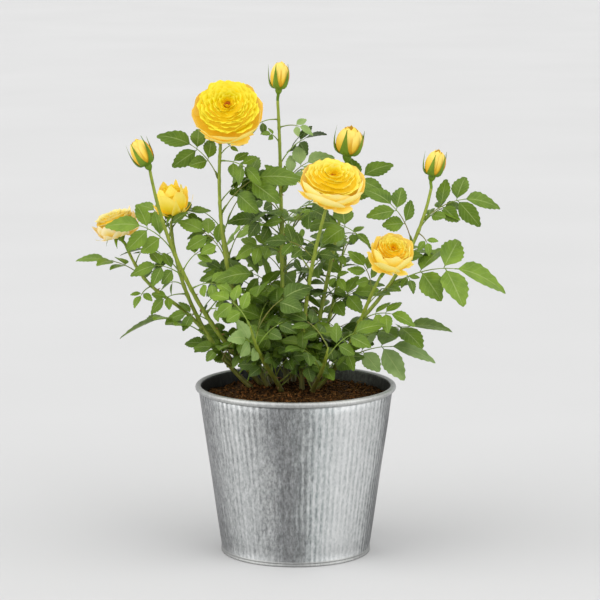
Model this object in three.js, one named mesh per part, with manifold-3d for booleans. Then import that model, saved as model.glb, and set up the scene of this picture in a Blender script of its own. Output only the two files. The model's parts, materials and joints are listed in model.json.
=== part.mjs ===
// A yellow patio rose in a round zinc pot, in millimetres, +Z up.
// The origin is the centre of the pot's flat underside, and the front of the plant is -Y.
import * as THREE from 'three';
import { mergeVertices } from 'three/addons/utils/BufferGeometryUtils.js';
import Module from 'manifold-3d';

const wasm = await Module();
wasm.setup();

// Pot and soil
const POT_HEIGHT = 161;
const RIM_RADIUS = 95;
const BEAD_RADIUS = 2.75;
const FOOT_RADIUS = 70;
const FOOT_BEAD = 1;
const FOOT_BEAD_HEIGHT = 4;
const WALL = 1.2;
const POT_SIDES = 40;
const SOIL_SIDES = 32;
const SOIL_TOP = 155;
const SOIL_EDGE = 149;
const MOUND_RADIUS = 62;

// Every two nodes that meet keep this gap
const GAP = 0.3;
// A side branch is cut off this far from the middle of its cane's surface, which has flat sides
const BRANCH_CUT = 0.8;

// Canes
const CANE_FOOT_RADIUS = 2.6;
const CANE_TIP_RADIUS = 1.4;
const BRANCH_RADIUS = 1.9;
const ROOT_FLARE = 1.2;
const ROOT_FLARE_SHARE = 0.06;
const CANE_SIDES = 6;
const BARE_STEP = 8;
const LEAFY_STEP = 15;
const STEP_TWIST = 11;

// Leaves: shares of a compound leaf's length, from its node to the tip of its end leaflet
const RACHIS = 0.56;
const SIDE_LEAFLET = 0.36;
const INNER_LEAFLET = 0.86;
const FIRST_PAIR = 0.47;
const PAIR_STEP = 0.2;
const PAIR_STAGGER = 0.012;
const LEAF_ARCH = 0.17;
const LEAF_DROOP = 0.35;
const LEAF_LEAN = 0.3;
const LEAF_THICKNESS = 0.014;
const LEAFLET_ANGLE = 62;
const RACHIS_HALF_WIDTH = 0.8;
const RACHIS_STEP = 22;
const THREE_LEAFLETS_BELOW = 46;

// Half of a leaflet's outline: shares of its length along it and across it
const SIDE_OUTLINE = [[0.42, 0.36]];
const END_OUTLINE = [[0.22, 0.27], [0.6, 0.28]];

// How far a leaf's face turns up, away from the plant's middle, and to the front
const FACE_UP = 0.6;
const FACE_OUT = 0.25;
const FACE_FRONT = 0.95;
const SHOOT_FACE_FRONT = 0.35;

// Leaves that the front doesn't show, spread over the back of each cane
const BACK_FIRST = 0.6;
const BACK_LAST = 0.84;
const BACK_HEADING = 90;
const BACK_SPREAD = 80;
const BACK_RISE = 22;
const BACK_LENGTH = 56;
const GOLDEN_SHARE = 0.618;

// Petals and sepals: width, fold along the midrib and curl to the tip as shares of the length.
// A blade's widest place is drawn back from its middle, and it is wider there than at its tip.
const PETAL = { sides: 6, width: 0.92, fold: 0.16, curl: 0.14, thickness: 0.035 };
const SEPAL = { sides: 4, width: 0.34, fold: 0.04, curl: -0.12, thickness: 0.05 };
const SEPAL_LENGTH = 18;
const BLADE_SHOULDER = 0.06;
const BLADE_FULL = 0.62;
const BLADE_TAPER = 0.24;
const HIP_RADIUS = 4.2;
const SMALL_HIP = 0.4;
const HIP_LENGTH = 2.6;
const STALK_SHORT = 0.7;
const BLADE_ROOT = 0.45;
const HIP_SIDES = 7;
const HIP_RINGS = 4;
const HIP_TURN = 24;
const STALK_SIDES = 6;
const STALK_STEPS = 4;
const RING_PETALS = 5;
const PETAL_TURN = 0.3;
const SEPAL_TURN = 0.8;

// Flowers. Each has a lobed body: belly draws its widest place down, fullness rounds its sides,
// taper narrows its top, and eye is how deep its middle dips. Sepals open by an angle in degrees.
const FLOWER_KINDS = {
  bud: { belly: 0.75, fullness: 0.8, taper: 0.25, eye: 0, lobe: 0, sides: 8, rings: 5, sepals: 24 },
  cup: {
    belly: 0.8, fullness: 0.6, taper: 0.14, eye: 0.2, lobe: 0.05, sides: 10, rings: 6, sepals: 105,
    petals: { open: 55, length: 1.15 },
  },
  rosette: { belly: 0.76, fullness: 0.5, taper: 0, eye: 0.3, lobe: 0.04, sides: 18, rings: 8, sepals: 110 },
};
const EYE_SHARE = 0.25;

// Each flowering cane is one curve: its foot on the soil, or where it leaves another cane, two points
// that steer it, and its tip under the flower. Its leaves start at the share named leafy, and each row
// of leaves is a share of the cane, a compass heading (0 right, 90 back), a rise, a length and, for a
// leaf seen more from its edge, how far its face turns to the front.
const FLOWERING_CANES = [
  {
    name: 'left_low',
    curve: [[-43, 12, SOIL_TOP], [-86, 13, 195], [-114, 19, 251], [-118, 24, 310]],
    leafy: 0.3,
    leaves: [[0.34, 190, 0, 87, 0.25], [0.61, 212, -21, 42], [0.66, 130, -15, 35], [0.94, 160, 35, 48],
      [0.97, 10, 25, 41]],
    behind: 2,
    flower: { kind: 'cup', centre: [-117, 20, 334], heading: 230, rise: 75, radius: 17, depth: 26 },
  },
  {
    name: 'left_tall',
    curve: [[-32, 22, SOIL_TOP], [-90, 14, 217], [-122, -10, 288], [-135, -30, 369]],
    leafy: 0.15,
    leaves: [[0.18, 295, -20, 38], [0.25, 320, -10, 33], [0.37, 310, 0, 34], [0.48, 330, 0, 46],
      [0.53, 200, 10, 54], [0.56, 30, 30, 42], [0.64, 190, 15, 70, 0.4]],
    behind: 2,
    flower: { kind: 'bud', centre: [-143, -32, 385], heading: 175, rise: 62, radius: 8.5, depth: 27 },
  },
  {
    name: 'top_left',
    curve: [[-26, 14, SOIL_TOP], [-63, 12, 225], [-76, 3, 312], [-70, -4, 389]],
    leafy: 0.25,
    leaves: [[0.28, 330, 5, 40], [0.41, 150, 40, 40], [0.53, 170, 35, 59], [0.71, 345, 35, 72],
      [0.85, 170, 35, 72], [0.93, 330, -25, 48], [0.95, 20, 25, 26], [0.98, 210, 45, 20]],
    behind: 3,
    flower: { kind: 'rosette', centre: [-63, -14, 422], heading: 270, rise: 28, radius: 31, depth: 33 },
  },
  {
    name: 'top',
    curve: [[-9, 26, SOIL_TOP], [-15, 27, 248], [-12, 35, 341], [-17, 40, 425]],
    leafy: 0.12,
    leaves: [[0.15, 220, 20, 44], [0.21, 325, 45, 38], [0.28, 220, 25, 82], [0.38, 325, 30, 42],
      [0.46, 205, -5, 50], [0.51, 210, 15, 60], [0.56, 20, -5, 40], [0.6, 235, 60, 52],
      [0.67, 15, 30, 62], [0.84, 215, 30, 24], [0.9, 340, -10, 34], [0.93, 195, -25, 32]],
    behind: 4,
    flower: { kind: 'bud', centre: [-15, 39, 450], heading: 30, rise: 85, radius: 8, depth: 27 },
  },
  {
    name: 'middle',
    curve: [[6, 2, SOIL_TOP], [4, -1, 220], [14, -30, 282], [29, -50, 338]],
    leafy: 0.32,
    leaves: [[0.37, 266, -34, 43], [0.69, 190, 20, 50], [0.76, 140, 0, 34]],
    behind: 1,
    flower: { kind: 'rosette', centre: [34, -54, 359], heading: 275, rise: 48, radius: 29, depth: 31 },
  },
  {
    name: 'right_tall',
    curve: [[14, 24, SOIL_TOP], [19, 25, 226], [43, 33, 295], [48, 38, 360]],
    leafy: 0.26,
    leaves: [[0.31, 345, 20, 68], [0.49, 295, -10, 36], [0.58, 295, 0, 30], [0.68, 325, -5, 38],
      [0.8, 15, 40, 67]],
    behind: 3,
    flower: { kind: 'bud', centre: [51, 37, 388], heading: 330, rise: 80, radius: 11.5, depth: 28 },
  },
  {
    name: 'right_front',
    curve: [[20, 6, SOIL_TOP], [56, 0, 189], [61, -22, 235], [79, -40, 270]],
    leafy: 0.16,
    leaves: [[0.2, 355, 5, 94], [0.3, 280, -5, 38], [0.38, 5, 8, 100, 0.25], [0.6, 330, 0, 56],
      [0.82, 200, 60, 48]],
    behind: 2,
    flower: { kind: 'cup', centre: [89, -48, 293], heading: 280, rise: 42, radius: 20, depth: 24 },
  },
  {
    name: 'far_left',
    from: 'left_low',
    curve: [[-88, 15, 210], [-122, 9, 251], [-138, 15, 236], [-160, 4, 293]],
    leafy: 0.3,
    leaves: [[0.62, 240, -35, 33], [0.73, 175, 10, 68, 0.3], [0.86, 70, 20, 30]],
    behind: 1,
    flower: { kind: 'cup', centre: [-169, 2, 314], heading: 185, rise: 55, radius: 20, depth: 25 },
  },
  {
    name: 'far_right',
    from: 'right_front',
    curve: [[58, -14, 221], [94, -10, 257], [118, -4, 302], [127, 4, 346]],
    leafy: 0.2,
    leaves: [[0.29, 355, 0, 112], [0.43, 300, -40, 32], [0.6, 160, 45, 72], [0.69, 300, -40, 30],
      [0.77, 5, 11, 76]],
    behind: 2,
    flower: { kind: 'bud', centre: [131, 3, 371], heading: 350, rise: 76, radius: 8.5, depth: 26 },
  },
];

// Shoots without a flower fill the middle and the back: a foot, a tip, and how many leaves the
// shoot carries, turned round it by the golden angle
const LEAFY_SHOOTS = [
  { name: 'back_left', foot: [-24, 34], tip: [-70, 96, 292], leaves: 7 },
  { name: 'back', foot: [-2, 40], tip: [-14, 118, 330], leaves: 8 },
  { name: 'back_right', foot: [16, 36], tip: [48, 100, 286], leaves: 7 },
  { name: 'front_left', foot: [-14, -4], tip: [-42, -58, 226], leaves: 4 },
  { name: 'front_right', foot: [16, -10], tip: [30, -58, 206], leaves: 4 },
];
const SHOOT_LEAFY = 0.3;
const SHOOT_FIRST_LEAF = 0.36;
const SHOOT_LAST_LEAF = 0.99;
const SHOOT_LOW = { out: 0.2, up: 0.25 };
const SHOOT_HIGH = { out: 0.7, up: 0.45 };
const GOLDEN_ANGLE = 137.5;
const SHOOT_RISE = 28;
const SHOOT_LEAF_LENGTH = 60;
const LEAF_SPREAD = 0.2;
const FIRST_SEED = 41;

// Colours and finishes
const material = (color, roughness, metalness = 0) => (
  new THREE.MeshStandardMaterial({ color, roughness, metalness })
);
const ZINC = material('#a9adb0', 0.42, 0.85);
const SOIL = material('#3a2619', 0.98);
const CANE_GREEN = material('#6f8f2c', 0.6);
const LEAF_GREEN = material('#3f7a2b', 0.55);
const PETAL_YELLOW = material('#f4cf2e', 0.6);

const UP = new THREE.Vector3(0, 0, 1);
const LIMB_ACROSS = new THREE.Vector3(0.25, 0.95, 0.1).normalize();
const RIGHT = new THREE.Vector3(1, 0, 0);
const FRONT = new THREE.Vector3(0, -1, 0);
const { clamp, degToRad, lerp } = THREE.MathUtils;

// A repeatable stream of numbers from 0 to 1
function seeded(seed) {
  let state = seed;
  return () => {
    state = (state * 1664525 + 1013904223) % 4294967296;
    return state / 4294967296;
  };
}

// The direction of a compass heading and a rise above the level, in degrees
function direction(heading, rise) {
  const level = Math.cos(degToRad(rise));
  return new THREE.Vector3(
    Math.cos(degToRad(heading)) * level,
    Math.sin(degToRad(heading)) * level,
    Math.sin(degToRad(rise)),
  );
}

// A closed geometry whose faces share their corners, with no face that has no area
function closed(geometry) {
  geometry.deleteAttribute('normal');
  geometry.deleteAttribute('uv');
  const merged = mergeVertices(geometry);
  const corners = merged.index.array;
  const faces = [];
  for (let i = 0; i < corners.length; i += 3) {
    const [a, b, c] = [corners[i], corners[i + 1], corners[i + 2]];
    if (a !== b && b !== c && c !== a) faces.push(a, b, c);
  }
  merged.setIndex(faces);
  return merged;
}

function toSolid(geometry) {
  return new wasm.Manifold(new wasm.Mesh({
    numProp: 3,
    vertProperties: new Float32Array(geometry.attributes.position.array),
    triVerts: new Uint32Array(geometry.index.array),
  }));
}

// Moves each corner of a closed unit shape to where place puts it
function shaped(geometry, place) {
  const shape = closed(geometry);
  const corners = shape.attributes.position;
  for (let i = 0; i < corners.count; i += 1) {
    const corner = place(new THREE.Vector3().fromBufferAttribute(corners, i));
    corners.setXYZ(i, corner.x, corner.y, corner.z);
  }
  return toSolid(shape);
}

// A limb is a cylinder bent along a curve, from one share of the curve to another.
// The limb never runs along the direction named across, which sets how its sides are turned, and
// they twist a little from step to step. A limb that stands on the soil ends in a flat foot.
function limb(curve, from, to, radiusAt, across, sides, steps, onSoil = false) {
  return shaped(new THREE.CylinderGeometry(1, 1, 1, sides, steps), (local) => {
    const share = lerp(from, to, local.y + 0.5);
    const along = curve.getTangent(share);
    const twist = degToRad(STEP_TWIST * steps * (local.y + 0.5));
    const side = new THREE.Vector3().crossVectors(along, across).normalize().applyAxisAngle(along, twist);
    const other = new THREE.Vector3().crossVectors(side, along);
    const radius = radiusAt(share);
    const corner = curve.getPoint(share)
      .addScaledVector(side, local.x * radius)
      .addScaledVector(other, local.z * radius);
    const isFoot = onSoil && local.y < -0.499;
    return isFoot ? corner.addScaledVector(along, (SOIL_TOP + GAP - corner.z) / along.z) : corner;
  });
}

// A blade is a leaflet, petal or sepal: four or six corners round its edge, and one over and one
// under its midrib. Its edge folds up from the midrib and its tip curls along the normal.
function blade(base, axis, normal, length, form) {
  const across = new THREE.Vector3().crossVectors(axis, normal);
  return shaped(new THREE.SphereGeometry(1, form.sides, 2), (local) => {
    const share = (local.x + 1) / 2 - BLADE_SHOULDER * Math.abs(local.z);
    const wide = local.z * form.width * length * (BLADE_FULL - BLADE_TAPER * share);
    const thick = local.y * form.thickness * length / 2;
    const bend = (form.fold * Math.abs(local.z) + form.curl * share * share) * length;
    return base.clone()
      .addScaledVector(axis, share * length)
      .addScaledVector(across, wide)
      .addScaledVector(normal, thick + bend);
  });
}

// A round body about an axis: a sphere whose rings are pushed to radiusAt and heightAt,
// both read from 0 at its foot to 1 at its top. It is turned about the axis by an angle in degrees,
// and petals make it lobed, one lobe to two sides.
function roundBody(base, axis, radiusAt, heightAt, sides, rings, turn, lobe = 0) {
  const side = new THREE.Vector3().crossVectors(axis, RIGHT).normalize()
    .applyAxisAngle(axis, degToRad(turn));
  const other = new THREE.Vector3().crossVectors(side, axis);
  return shaped(new THREE.SphereGeometry(1, sides, rings), (local) => {
    const share = 1 - Math.acos(clamp(local.y, -1, 1)) / Math.PI;
    const round = Math.hypot(local.x, local.z);
    const lobed = 1 + lobe * Math.cos(sides / 2 * Math.atan2(local.z, local.x));
    const radius = round > 0 ? lobed * radiusAt(share) / round : 0;
    return base.clone()
      .addScaledVector(axis, heightAt(share))
      .addScaledVector(side, local.x * radius)
      .addScaledVector(other, local.z * radius);
  });
}

// One solid from many. A hollow that the joining seals is filled, and a loose scrap is dropped.
function join(solids) {
  const bodies = solids.reduce((whole, piece) => whole.add(piece)).decompose();
  return bodies.reduce((largest, body) => (body.volume() > largest.volume() ? body : largest));
}

// The pieces of each node made so far, so that leaves can keep clear of them. The first piece of a
// mass of leaves is its stem, which its own leaves grow from.
const placed = [];

function boxesMeet(a, b) {
  return [0, 1, 2].every((i) => a.min[i] - GAP < b.max[i] && b.min[i] - GAP < a.max[i]);
}

function apart(solid, other) {
  return !boxesMeet(solid.boundingBox(), other.boundingBox()) || solid.minGap(other, 2 * GAP) >= GAP;
}

function place(name, solid) {
  const node = { name, pieces: [solid] };
  placed.push(node);
  return node;
}

// The pot is one turned sheet: flat foot, foot bead, sloping wall, rolled rim and the inside
function pot() {
  const beadMiddle = new THREE.Vector2(RIM_RADIUS - BEAD_RADIUS, POT_HEIGHT - BEAD_RADIUS);
  const bead = new THREE.Path().absarc(
    beadMiddle.x, beadMiddle.y, BEAD_RADIUS, -Math.PI * 0.72, Math.PI, false,
  );
  const profile = [
    new THREE.Vector2(0, 0),
    new THREE.Vector2(FOOT_RADIUS, 0),
    new THREE.Vector2(FOOT_RADIUS + FOOT_BEAD, FOOT_BEAD),
    new THREE.Vector2(FOOT_RADIUS + FOOT_BEAD, FOOT_BEAD_HEIGHT - FOOT_BEAD),
    new THREE.Vector2(FOOT_RADIUS + FOOT_BEAD / 2, FOOT_BEAD_HEIGHT),
    ...bead.getPoints(4),
    new THREE.Vector2(FOOT_RADIUS - WALL, WALL),
    new THREE.Vector2(0, WALL),
  ];
  return toSolid(closed(new THREE.LatheGeometry(profile, POT_SIDES).rotateX(Math.PI / 2)));
}

// The soil fills the pot, clear of its wall and floor, and is mounded round the canes
function soil() {
  const insideFoot = FOOT_RADIUS - WALL;
  const insideNeck = RIM_RADIUS - 2 * BEAD_RADIUS;
  const radiusAt = (height) => lerp(insideFoot, insideNeck, height / (POT_HEIGHT - BEAD_RADIUS)) - 2 * GAP;
  const profile = [
    new THREE.Vector2(0, WALL + GAP),
    new THREE.Vector2(radiusAt(WALL), WALL + GAP),
    new THREE.Vector2(radiusAt(SOIL_EDGE), SOIL_EDGE),
    new THREE.Vector2(MOUND_RADIUS, SOIL_TOP),
    new THREE.Vector2(0, SOIL_TOP),
  ];
  return toSolid(closed(new THREE.LatheGeometry(profile, SOIL_SIDES).rotateX(Math.PI / 2)));
}

function cubic(points) {
  return new THREE.CubicBezierCurve3(...points.map((point) => new THREE.Vector3(...point)));
}

// A shoot leans out from its foot and then rises to its tip
function shootCurve({ foot, tip }) {
  const steer = ({ out, up }) => [
    lerp(foot[0], tip[0], out),
    lerp(foot[1], tip[1], out),
    lerp(SOIL_TOP, tip[2], up),
  ];
  return cubic([[...foot, SOIL_TOP], steer(SHOOT_LOW), steer(SHOOT_HIGH), tip]);
}

// A cane thins towards its tip and flares where it enters the soil
function caneRadius(share) {
  return lerp(CANE_FOOT_RADIUS, CANE_TIP_RADIUS, share)
    + ROOT_FLARE * Math.max(0, 1 - share / ROOT_FLARE_SHARE) ** 2;
}

function branchRadius(share) {
  return lerp(BRANCH_RADIUS, CANE_TIP_RADIUS, share);
}

// The outline of a compound leaf laid flat, from its node at 0,0 along +X: up one side of the
// rachis, round the end leaflet and back, with a side leaflet at each pair
function leafOutline(length, pairs) {
  const bare = (pairs > 0 ? FIRST_PAIR - PAIR_STEP * (pairs - 1) : RACHIS) * length;
  const steps = Math.ceil(bare / RACHIS_STEP);
  const half = Array.from({ length: steps }, (_, i) => (
    new THREE.Vector2(bare * i / steps, RACHIS_HALF_WIDTH)
  ));
  for (let pair = pairs - 1; pair >= 0; pair -= 1) {
    const size = SIDE_LEAFLET * length * INNER_LEAFLET ** pair;
    const root = new THREE.Vector2((FIRST_PAIR - PAIR_STEP * pair) * length, RACHIS_HALF_WIDTH);
    const belly = SIDE_OUTLINE.map(([along, wide]) => new THREE.Vector2(along * size, wide * size));
    const edge = [
      new THREE.Vector2(0, RACHIS_HALF_WIDTH),
      ...belly,
      new THREE.Vector2(size, 0),
      ...belly.map(({ x, y }) => new THREE.Vector2(x, -y)).reverse(),
      new THREE.Vector2(0, -RACHIS_HALF_WIDTH),
    ];
    half.push(...edge.map((point) => (
      point.rotateAround(new THREE.Vector2(), degToRad(LEAFLET_ANGLE)).add(root)
    )));
  }
  const end = (1 - RACHIS) * length;
  half.push(...END_OUTLINE.map(([along, wide]) => (
    new THREE.Vector2(RACHIS * length + along * end, wide * end)
  )));
  const otherHalf = half.map(({ x, y }) => new THREE.Vector2(x + PAIR_STAGGER * length, -y)).reverse();
  otherHalf[otherHalf.length - 1].x = 0;
  return new THREE.Shape([...half, new THREE.Vector2(length, 0), ...otherHalf]);
}

// A compound leaf is a thin plate cut to that outline, arched upwards from node to tip and drooping
// to its sides. Its face turns up, out and to the front by the amounts given, and leans a little.
function compoundLeaf({ node, heading, rise, length, faceFront, lean }, pairs) {
  const out = direction(heading, rise);
  const face = UP.clone().multiplyScalar(FACE_UP)
    .addScaledVector(new THREE.Vector3(node.x, node.y, 0).normalize(), FACE_OUT)
    .addScaledVector(FRONT, faceFront)
    .addScaledVector(direction(lean, 0), LEAF_LEAN);
  const across = new THREE.Vector3().crossVectors(face, out).normalize();
  const normal = new THREE.Vector3().crossVectors(out, across);
  const lift = UP.clone().addScaledVector(out, -out.z).normalize();
  const thickness = Math.max(RACHIS_HALF_WIDTH, LEAF_THICKNESS * length);
  const plate = new THREE.ExtrudeGeometry(leafOutline(length, pairs), { depth: 1, bevelEnabled: false });
  return shaped(plate, ({ x, y, z }) => {
    const share = x / length;
    const arch = 4 * LEAF_ARCH * length * share * (1 - share);
    const droop = LEAF_DROOP * y * y / length;
    return node.clone()
      .addScaledVector(out, x)
      .addScaledVector(across, y)
      .addScaledVector(lift, arch)
      .addScaledVector(normal, (z - 0.5) * thickness - droop);
  });
}

// Grows leaves on a mass. A leaf that would touch another node or leaf loses pairs of leaflets,
// and is left out if its end leaflet alone would touch.
function growLeaves(mass, rows) {
  for (const row of rows) {
    let pairs = row.length < THREE_LEAFLETS_BELOW ? 1 : 2;
    let leaf = compoundLeaf(row, pairs);
    const touches = () => placed.some(({ name, pieces }) => (
      pieces.some((piece, i) => !(name === mass.name && i === 0) && !apart(leaf, piece))
    ));
    while (pairs > 0 && touches()) {
      pairs -= 1;
      leaf = compoundLeaf(row, pairs);
    }
    if (!touches()) mass.pieces.push(leaf);
  }
}

// The leaves of a flowering cane that the front shows
function frontRows({ leaves }, curve, random) {
  return leaves.map(([share, heading, rise, length, faceFront = FACE_FRONT]) => (
    { node: curve.getPoint(share), heading, rise, length, faceFront, lean: 360 * random() }
  ));
}

// The leaves on the back of a flowering cane
function backRows({ behind, leafy }, curve, random) {
  return Array.from({ length: behind }, (_, i) => ({
    node: curve.getPoint(lerp(leafy, BACK_LAST, (i + BACK_FIRST) / behind)),
    heading: BACK_HEADING + BACK_SPREAD * (2 * ((i * GOLDEN_SHARE + random()) % 1) - 1),
    rise: BACK_RISE,
    length: BACK_LENGTH * (1 + LEAF_SPREAD * (random() - 0.5)),
    faceFront: 0,
    lean: 360 * random(),
  }));
}

function shootRows({ leaves }, curve, random) {
  const start = 360 * random();
  return Array.from({ length: leaves }, (_, i) => ({
    node: curve.getPoint(lerp(SHOOT_FIRST_LEAF, SHOOT_LAST_LEAF, i / (leaves - 1))),
    heading: start + i * GOLDEN_ANGLE,
    rise: SHOOT_RISE,
    length: SHOOT_LEAF_LENGTH * (1 + LEAF_SPREAD * (random() - 0.5)),
    faceFront: SHOOT_FACE_FRONT,
    lean: 360 * random(),
  }));
}

// Five petals or sepals in a ring about a hip, each opened away from the axis by an angle in degrees.
// Turn is the share of one petal's place by which the ring is turned.
function bladeRing(base, axis, hipRadius, open, length, form, turn) {
  const side = new THREE.Vector3().crossVectors(axis, RIGHT).normalize();
  return Array.from({ length: RING_PETALS }, (_, i) => {
    const radial = side.clone().applyAxisAngle(axis, 2 * Math.PI * (i + turn) / RING_PETALS);
    const along = axis.clone().multiplyScalar(Math.cos(degToRad(open)))
      .addScaledVector(radial, Math.sin(degToRad(open)));
    const inward = axis.clone().multiplyScalar(Math.sin(degToRad(open)))
      .addScaledVector(radial, -Math.cos(degToRad(open)));
    const root = base.clone().addScaledVector(radial, BLADE_ROOT * hipRadius);
    return blade(root, along, inward, length, form);
  });
}

// The body of a flower, from its hip to its face
function flowerBody(base, axis, { radius, depth }, kind) {
  const radiusAt = (share) => (
    radius * Math.sin(Math.PI * share ** kind.belly) ** kind.fullness * (1 - kind.taper * share)
  );
  const dip = (share) => kind.eye * Math.max(0, share - 1 + EYE_SHARE) / EYE_SHARE;
  const heightAt = (share) => depth * (share - dip(share));
  return roundBody(base, axis, radiusAt, heightAt, kind.sides, kind.rings, 0, kind.lobe);
}

// A flower on its own stalk, which starts just clear of the cane's tip and bends into its hip
function flower(curve, spec) {
  const kind = FLOWER_KINDS[spec.kind];
  const axis = direction(spec.heading, spec.rise);
  const base = new THREE.Vector3(...spec.centre).addScaledVector(axis, -spec.depth / 2);
  const along = curve.getTangent(1);
  const start = curve.getPoint(1).addScaledVector(along, GAP);
  const bend = base.distanceTo(start) / 2;
  const hipRadius = Math.min(HIP_RADIUS, SMALL_HIP * spec.radius);
  const stalk = new THREE.CubicBezierCurve3(
    start,
    start.clone().addScaledVector(along, bend),
    base.clone().addScaledVector(axis, -bend),
    base.clone().addScaledVector(axis, -STALK_SHORT * hipRadius),
  );
  const hipFoot = base.clone().addScaledVector(axis, (1 - HIP_LENGTH) * hipRadius);
  const hip = roundBody(
    hipFoot,
    axis,
    (share) => hipRadius * Math.sin(Math.PI * share),
    (share) => HIP_LENGTH * hipRadius * share,
    HIP_SIDES,
    HIP_RINGS,
    HIP_TURN,
  );
  const ring = (open, length, form, turn) => bladeRing(base, axis, hipRadius, open, length, form, turn);
  const petals = kind.petals
    ? ring(kind.petals.open, kind.petals.length * spec.radius, PETAL, PETAL_TURN)
    : [];
  return join([
    limb(stalk, 0, 1, () => CANE_TIP_RADIUS, RIGHT, STALK_SIDES, STALK_STEPS),
    hip,
    flowerBody(base, axis, spec, kind),
    ...petals,
    ...ring(kind.sepals, SEPAL_LENGTH, SEPAL, SEPAL_TURN),
  ]);
}

// The plant: canes, stems and flowers first, then the leaves in the room that is left, those
// that the front shows before the others
function buildPlant() {
  const canes = [
    ...FLOWERING_CANES.map((cane) => ({ ...cane, path: cubic(cane.curve) })),
    ...LEAFY_SHOOTS.map((shoot) => ({ ...shoot, path: shootCurve(shoot), leafy: SHOOT_LEAFY })),
  ].map((cane, i) => ({ ...cane, random: seeded(FIRST_SEED + i) }));
  const pathOf = (name) => canes.find((cane) => cane.name === name).path;
  const carrierOf = ({ from }) => {
    const path = pathOf(from);
    const steps = Math.ceil(path.getLength() / LEAFY_STEP);
    return limb(path, 0, 1, (share) => caneRadius(share) + BRANCH_CUT, LIMB_ACROSS, CANE_SIDES, steps);
  };

  for (const cane of canes) {
    const radiusAt = cane.from ? branchRadius : caneRadius;
    const length = cane.path.getLength();
    const gapShare = GAP / length;
    const bareSteps = Math.ceil(cane.leafy * length / BARE_STEP);
    const bareEnd = cane.leafy - gapShare;
    const bare = limb(cane.path, 0, bareEnd, radiusAt, LIMB_ACROSS, CANE_SIDES, bareSteps, !cane.from);
    place(`cane_${cane.name}`, cane.from ? bare.subtract(carrierOf(cane)) : bare);
    const leafySteps = Math.ceil((1 - cane.leafy) * length / LEAFY_STEP);
    const stem = limb(cane.path, cane.leafy, 1, radiusAt, LIMB_ACROSS, CANE_SIDES, leafySteps);
    cane.mass = place(`leaves_${cane.name}`, stem);
    if (cane.flower) {
      const kind = cane.flower.kind === 'bud' ? 'bud' : 'bloom';
      place(`${kind}_${cane.name}`, flower(cane.path, cane.flower));
    }
  }

  const flowering = canes.filter(({ flower: bearsFlower }) => bearsFlower);
  const shoots = canes.filter(({ flower: bearsFlower }) => !bearsFlower);
  flowering.forEach((cane) => growLeaves(cane.mass, frontRows(cane, cane.path, cane.random)));
  shoots.forEach((cane) => growLeaves(cane.mass, shootRows(cane, cane.path, cane.random)));
  flowering.forEach((cane) => growLeaves(cane.mass, backRows(cane, cane.path, cane.random)));
}

function toMesh(name, solid) {
  const { vertProperties, triVerts } = solid.getMesh();
  const geometry = new THREE.BufferGeometry();
  geometry.setAttribute('position', new THREE.BufferAttribute(vertProperties, 3));
  geometry.setIndex(new THREE.BufferAttribute(triVerts, 1));
  geometry.computeVertexNormals();
  const kind = name.split('_')[0];
  const finishes = { pot: ZINC, soil: SOIL, cane: CANE_GREEN, leaves: LEAF_GREEN };
  const mesh = new THREE.Mesh(geometry, finishes[kind] ?? PETAL_YELLOW);
  mesh.name = name;
  return mesh;
}

place('pot', pot());
place('soil', soil());
buildPlant();

const rose = new THREE.Group();
for (const { name, pieces } of placed) {
  rose.add(toMesh(name, join(pieces)));
}

export default rose;
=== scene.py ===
# A yellow patio rose in a round zinc pot. Lengths are in millimetres and become metres in the meshes.
# +Z is up, and the front of the plant is -Y.
import json
from math import atan2, ceil, cos, pi, radians, sin, tau

import bpy
from mathutils import Matrix, Vector, noise

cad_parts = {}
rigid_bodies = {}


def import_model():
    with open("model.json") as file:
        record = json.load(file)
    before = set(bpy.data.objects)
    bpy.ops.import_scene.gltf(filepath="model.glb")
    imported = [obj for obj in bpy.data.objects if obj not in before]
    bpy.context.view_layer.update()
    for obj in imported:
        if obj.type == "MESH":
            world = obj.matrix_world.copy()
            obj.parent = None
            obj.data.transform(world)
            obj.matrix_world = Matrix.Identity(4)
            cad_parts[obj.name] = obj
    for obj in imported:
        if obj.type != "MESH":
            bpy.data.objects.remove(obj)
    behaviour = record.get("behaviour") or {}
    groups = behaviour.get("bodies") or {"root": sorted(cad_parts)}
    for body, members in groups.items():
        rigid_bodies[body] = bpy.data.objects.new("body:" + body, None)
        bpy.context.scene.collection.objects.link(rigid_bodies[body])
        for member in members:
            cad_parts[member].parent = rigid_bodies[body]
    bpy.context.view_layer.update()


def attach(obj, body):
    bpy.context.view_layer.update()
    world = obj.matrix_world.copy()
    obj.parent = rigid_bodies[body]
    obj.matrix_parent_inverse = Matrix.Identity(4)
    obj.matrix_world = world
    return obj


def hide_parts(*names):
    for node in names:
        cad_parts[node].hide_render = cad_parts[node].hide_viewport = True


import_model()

MM = 0.001

# Corners closer than this, in metres, are one corner
SEAM = 0.000002

# Random draws
SEED_STEP = 1664525
SEED_SHIFT = 1013904223
SEED_RANGE = 2 ** 32

# Camera, as the photograph shows it
CAMERA_PLACE = (4.1, -2670, 690)
CAMERA_DOWN = 9.55
CAMERA_LENS = 172.4
CAMERA_SENSOR = 36
CAMERA_FAR = 50

# Floor, and soft lights: a name, a compass heading, a rise and a strength
FLOOR_SIZE = 30
SKY_STRENGTH = 0.79
LIGHT_BREADTH = 70
LIGHTS = (("left_light", 199, 26, 1.25), ("right_light", 334, 26, 1.0), ("top_light", 270, 72, 0.85))

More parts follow.
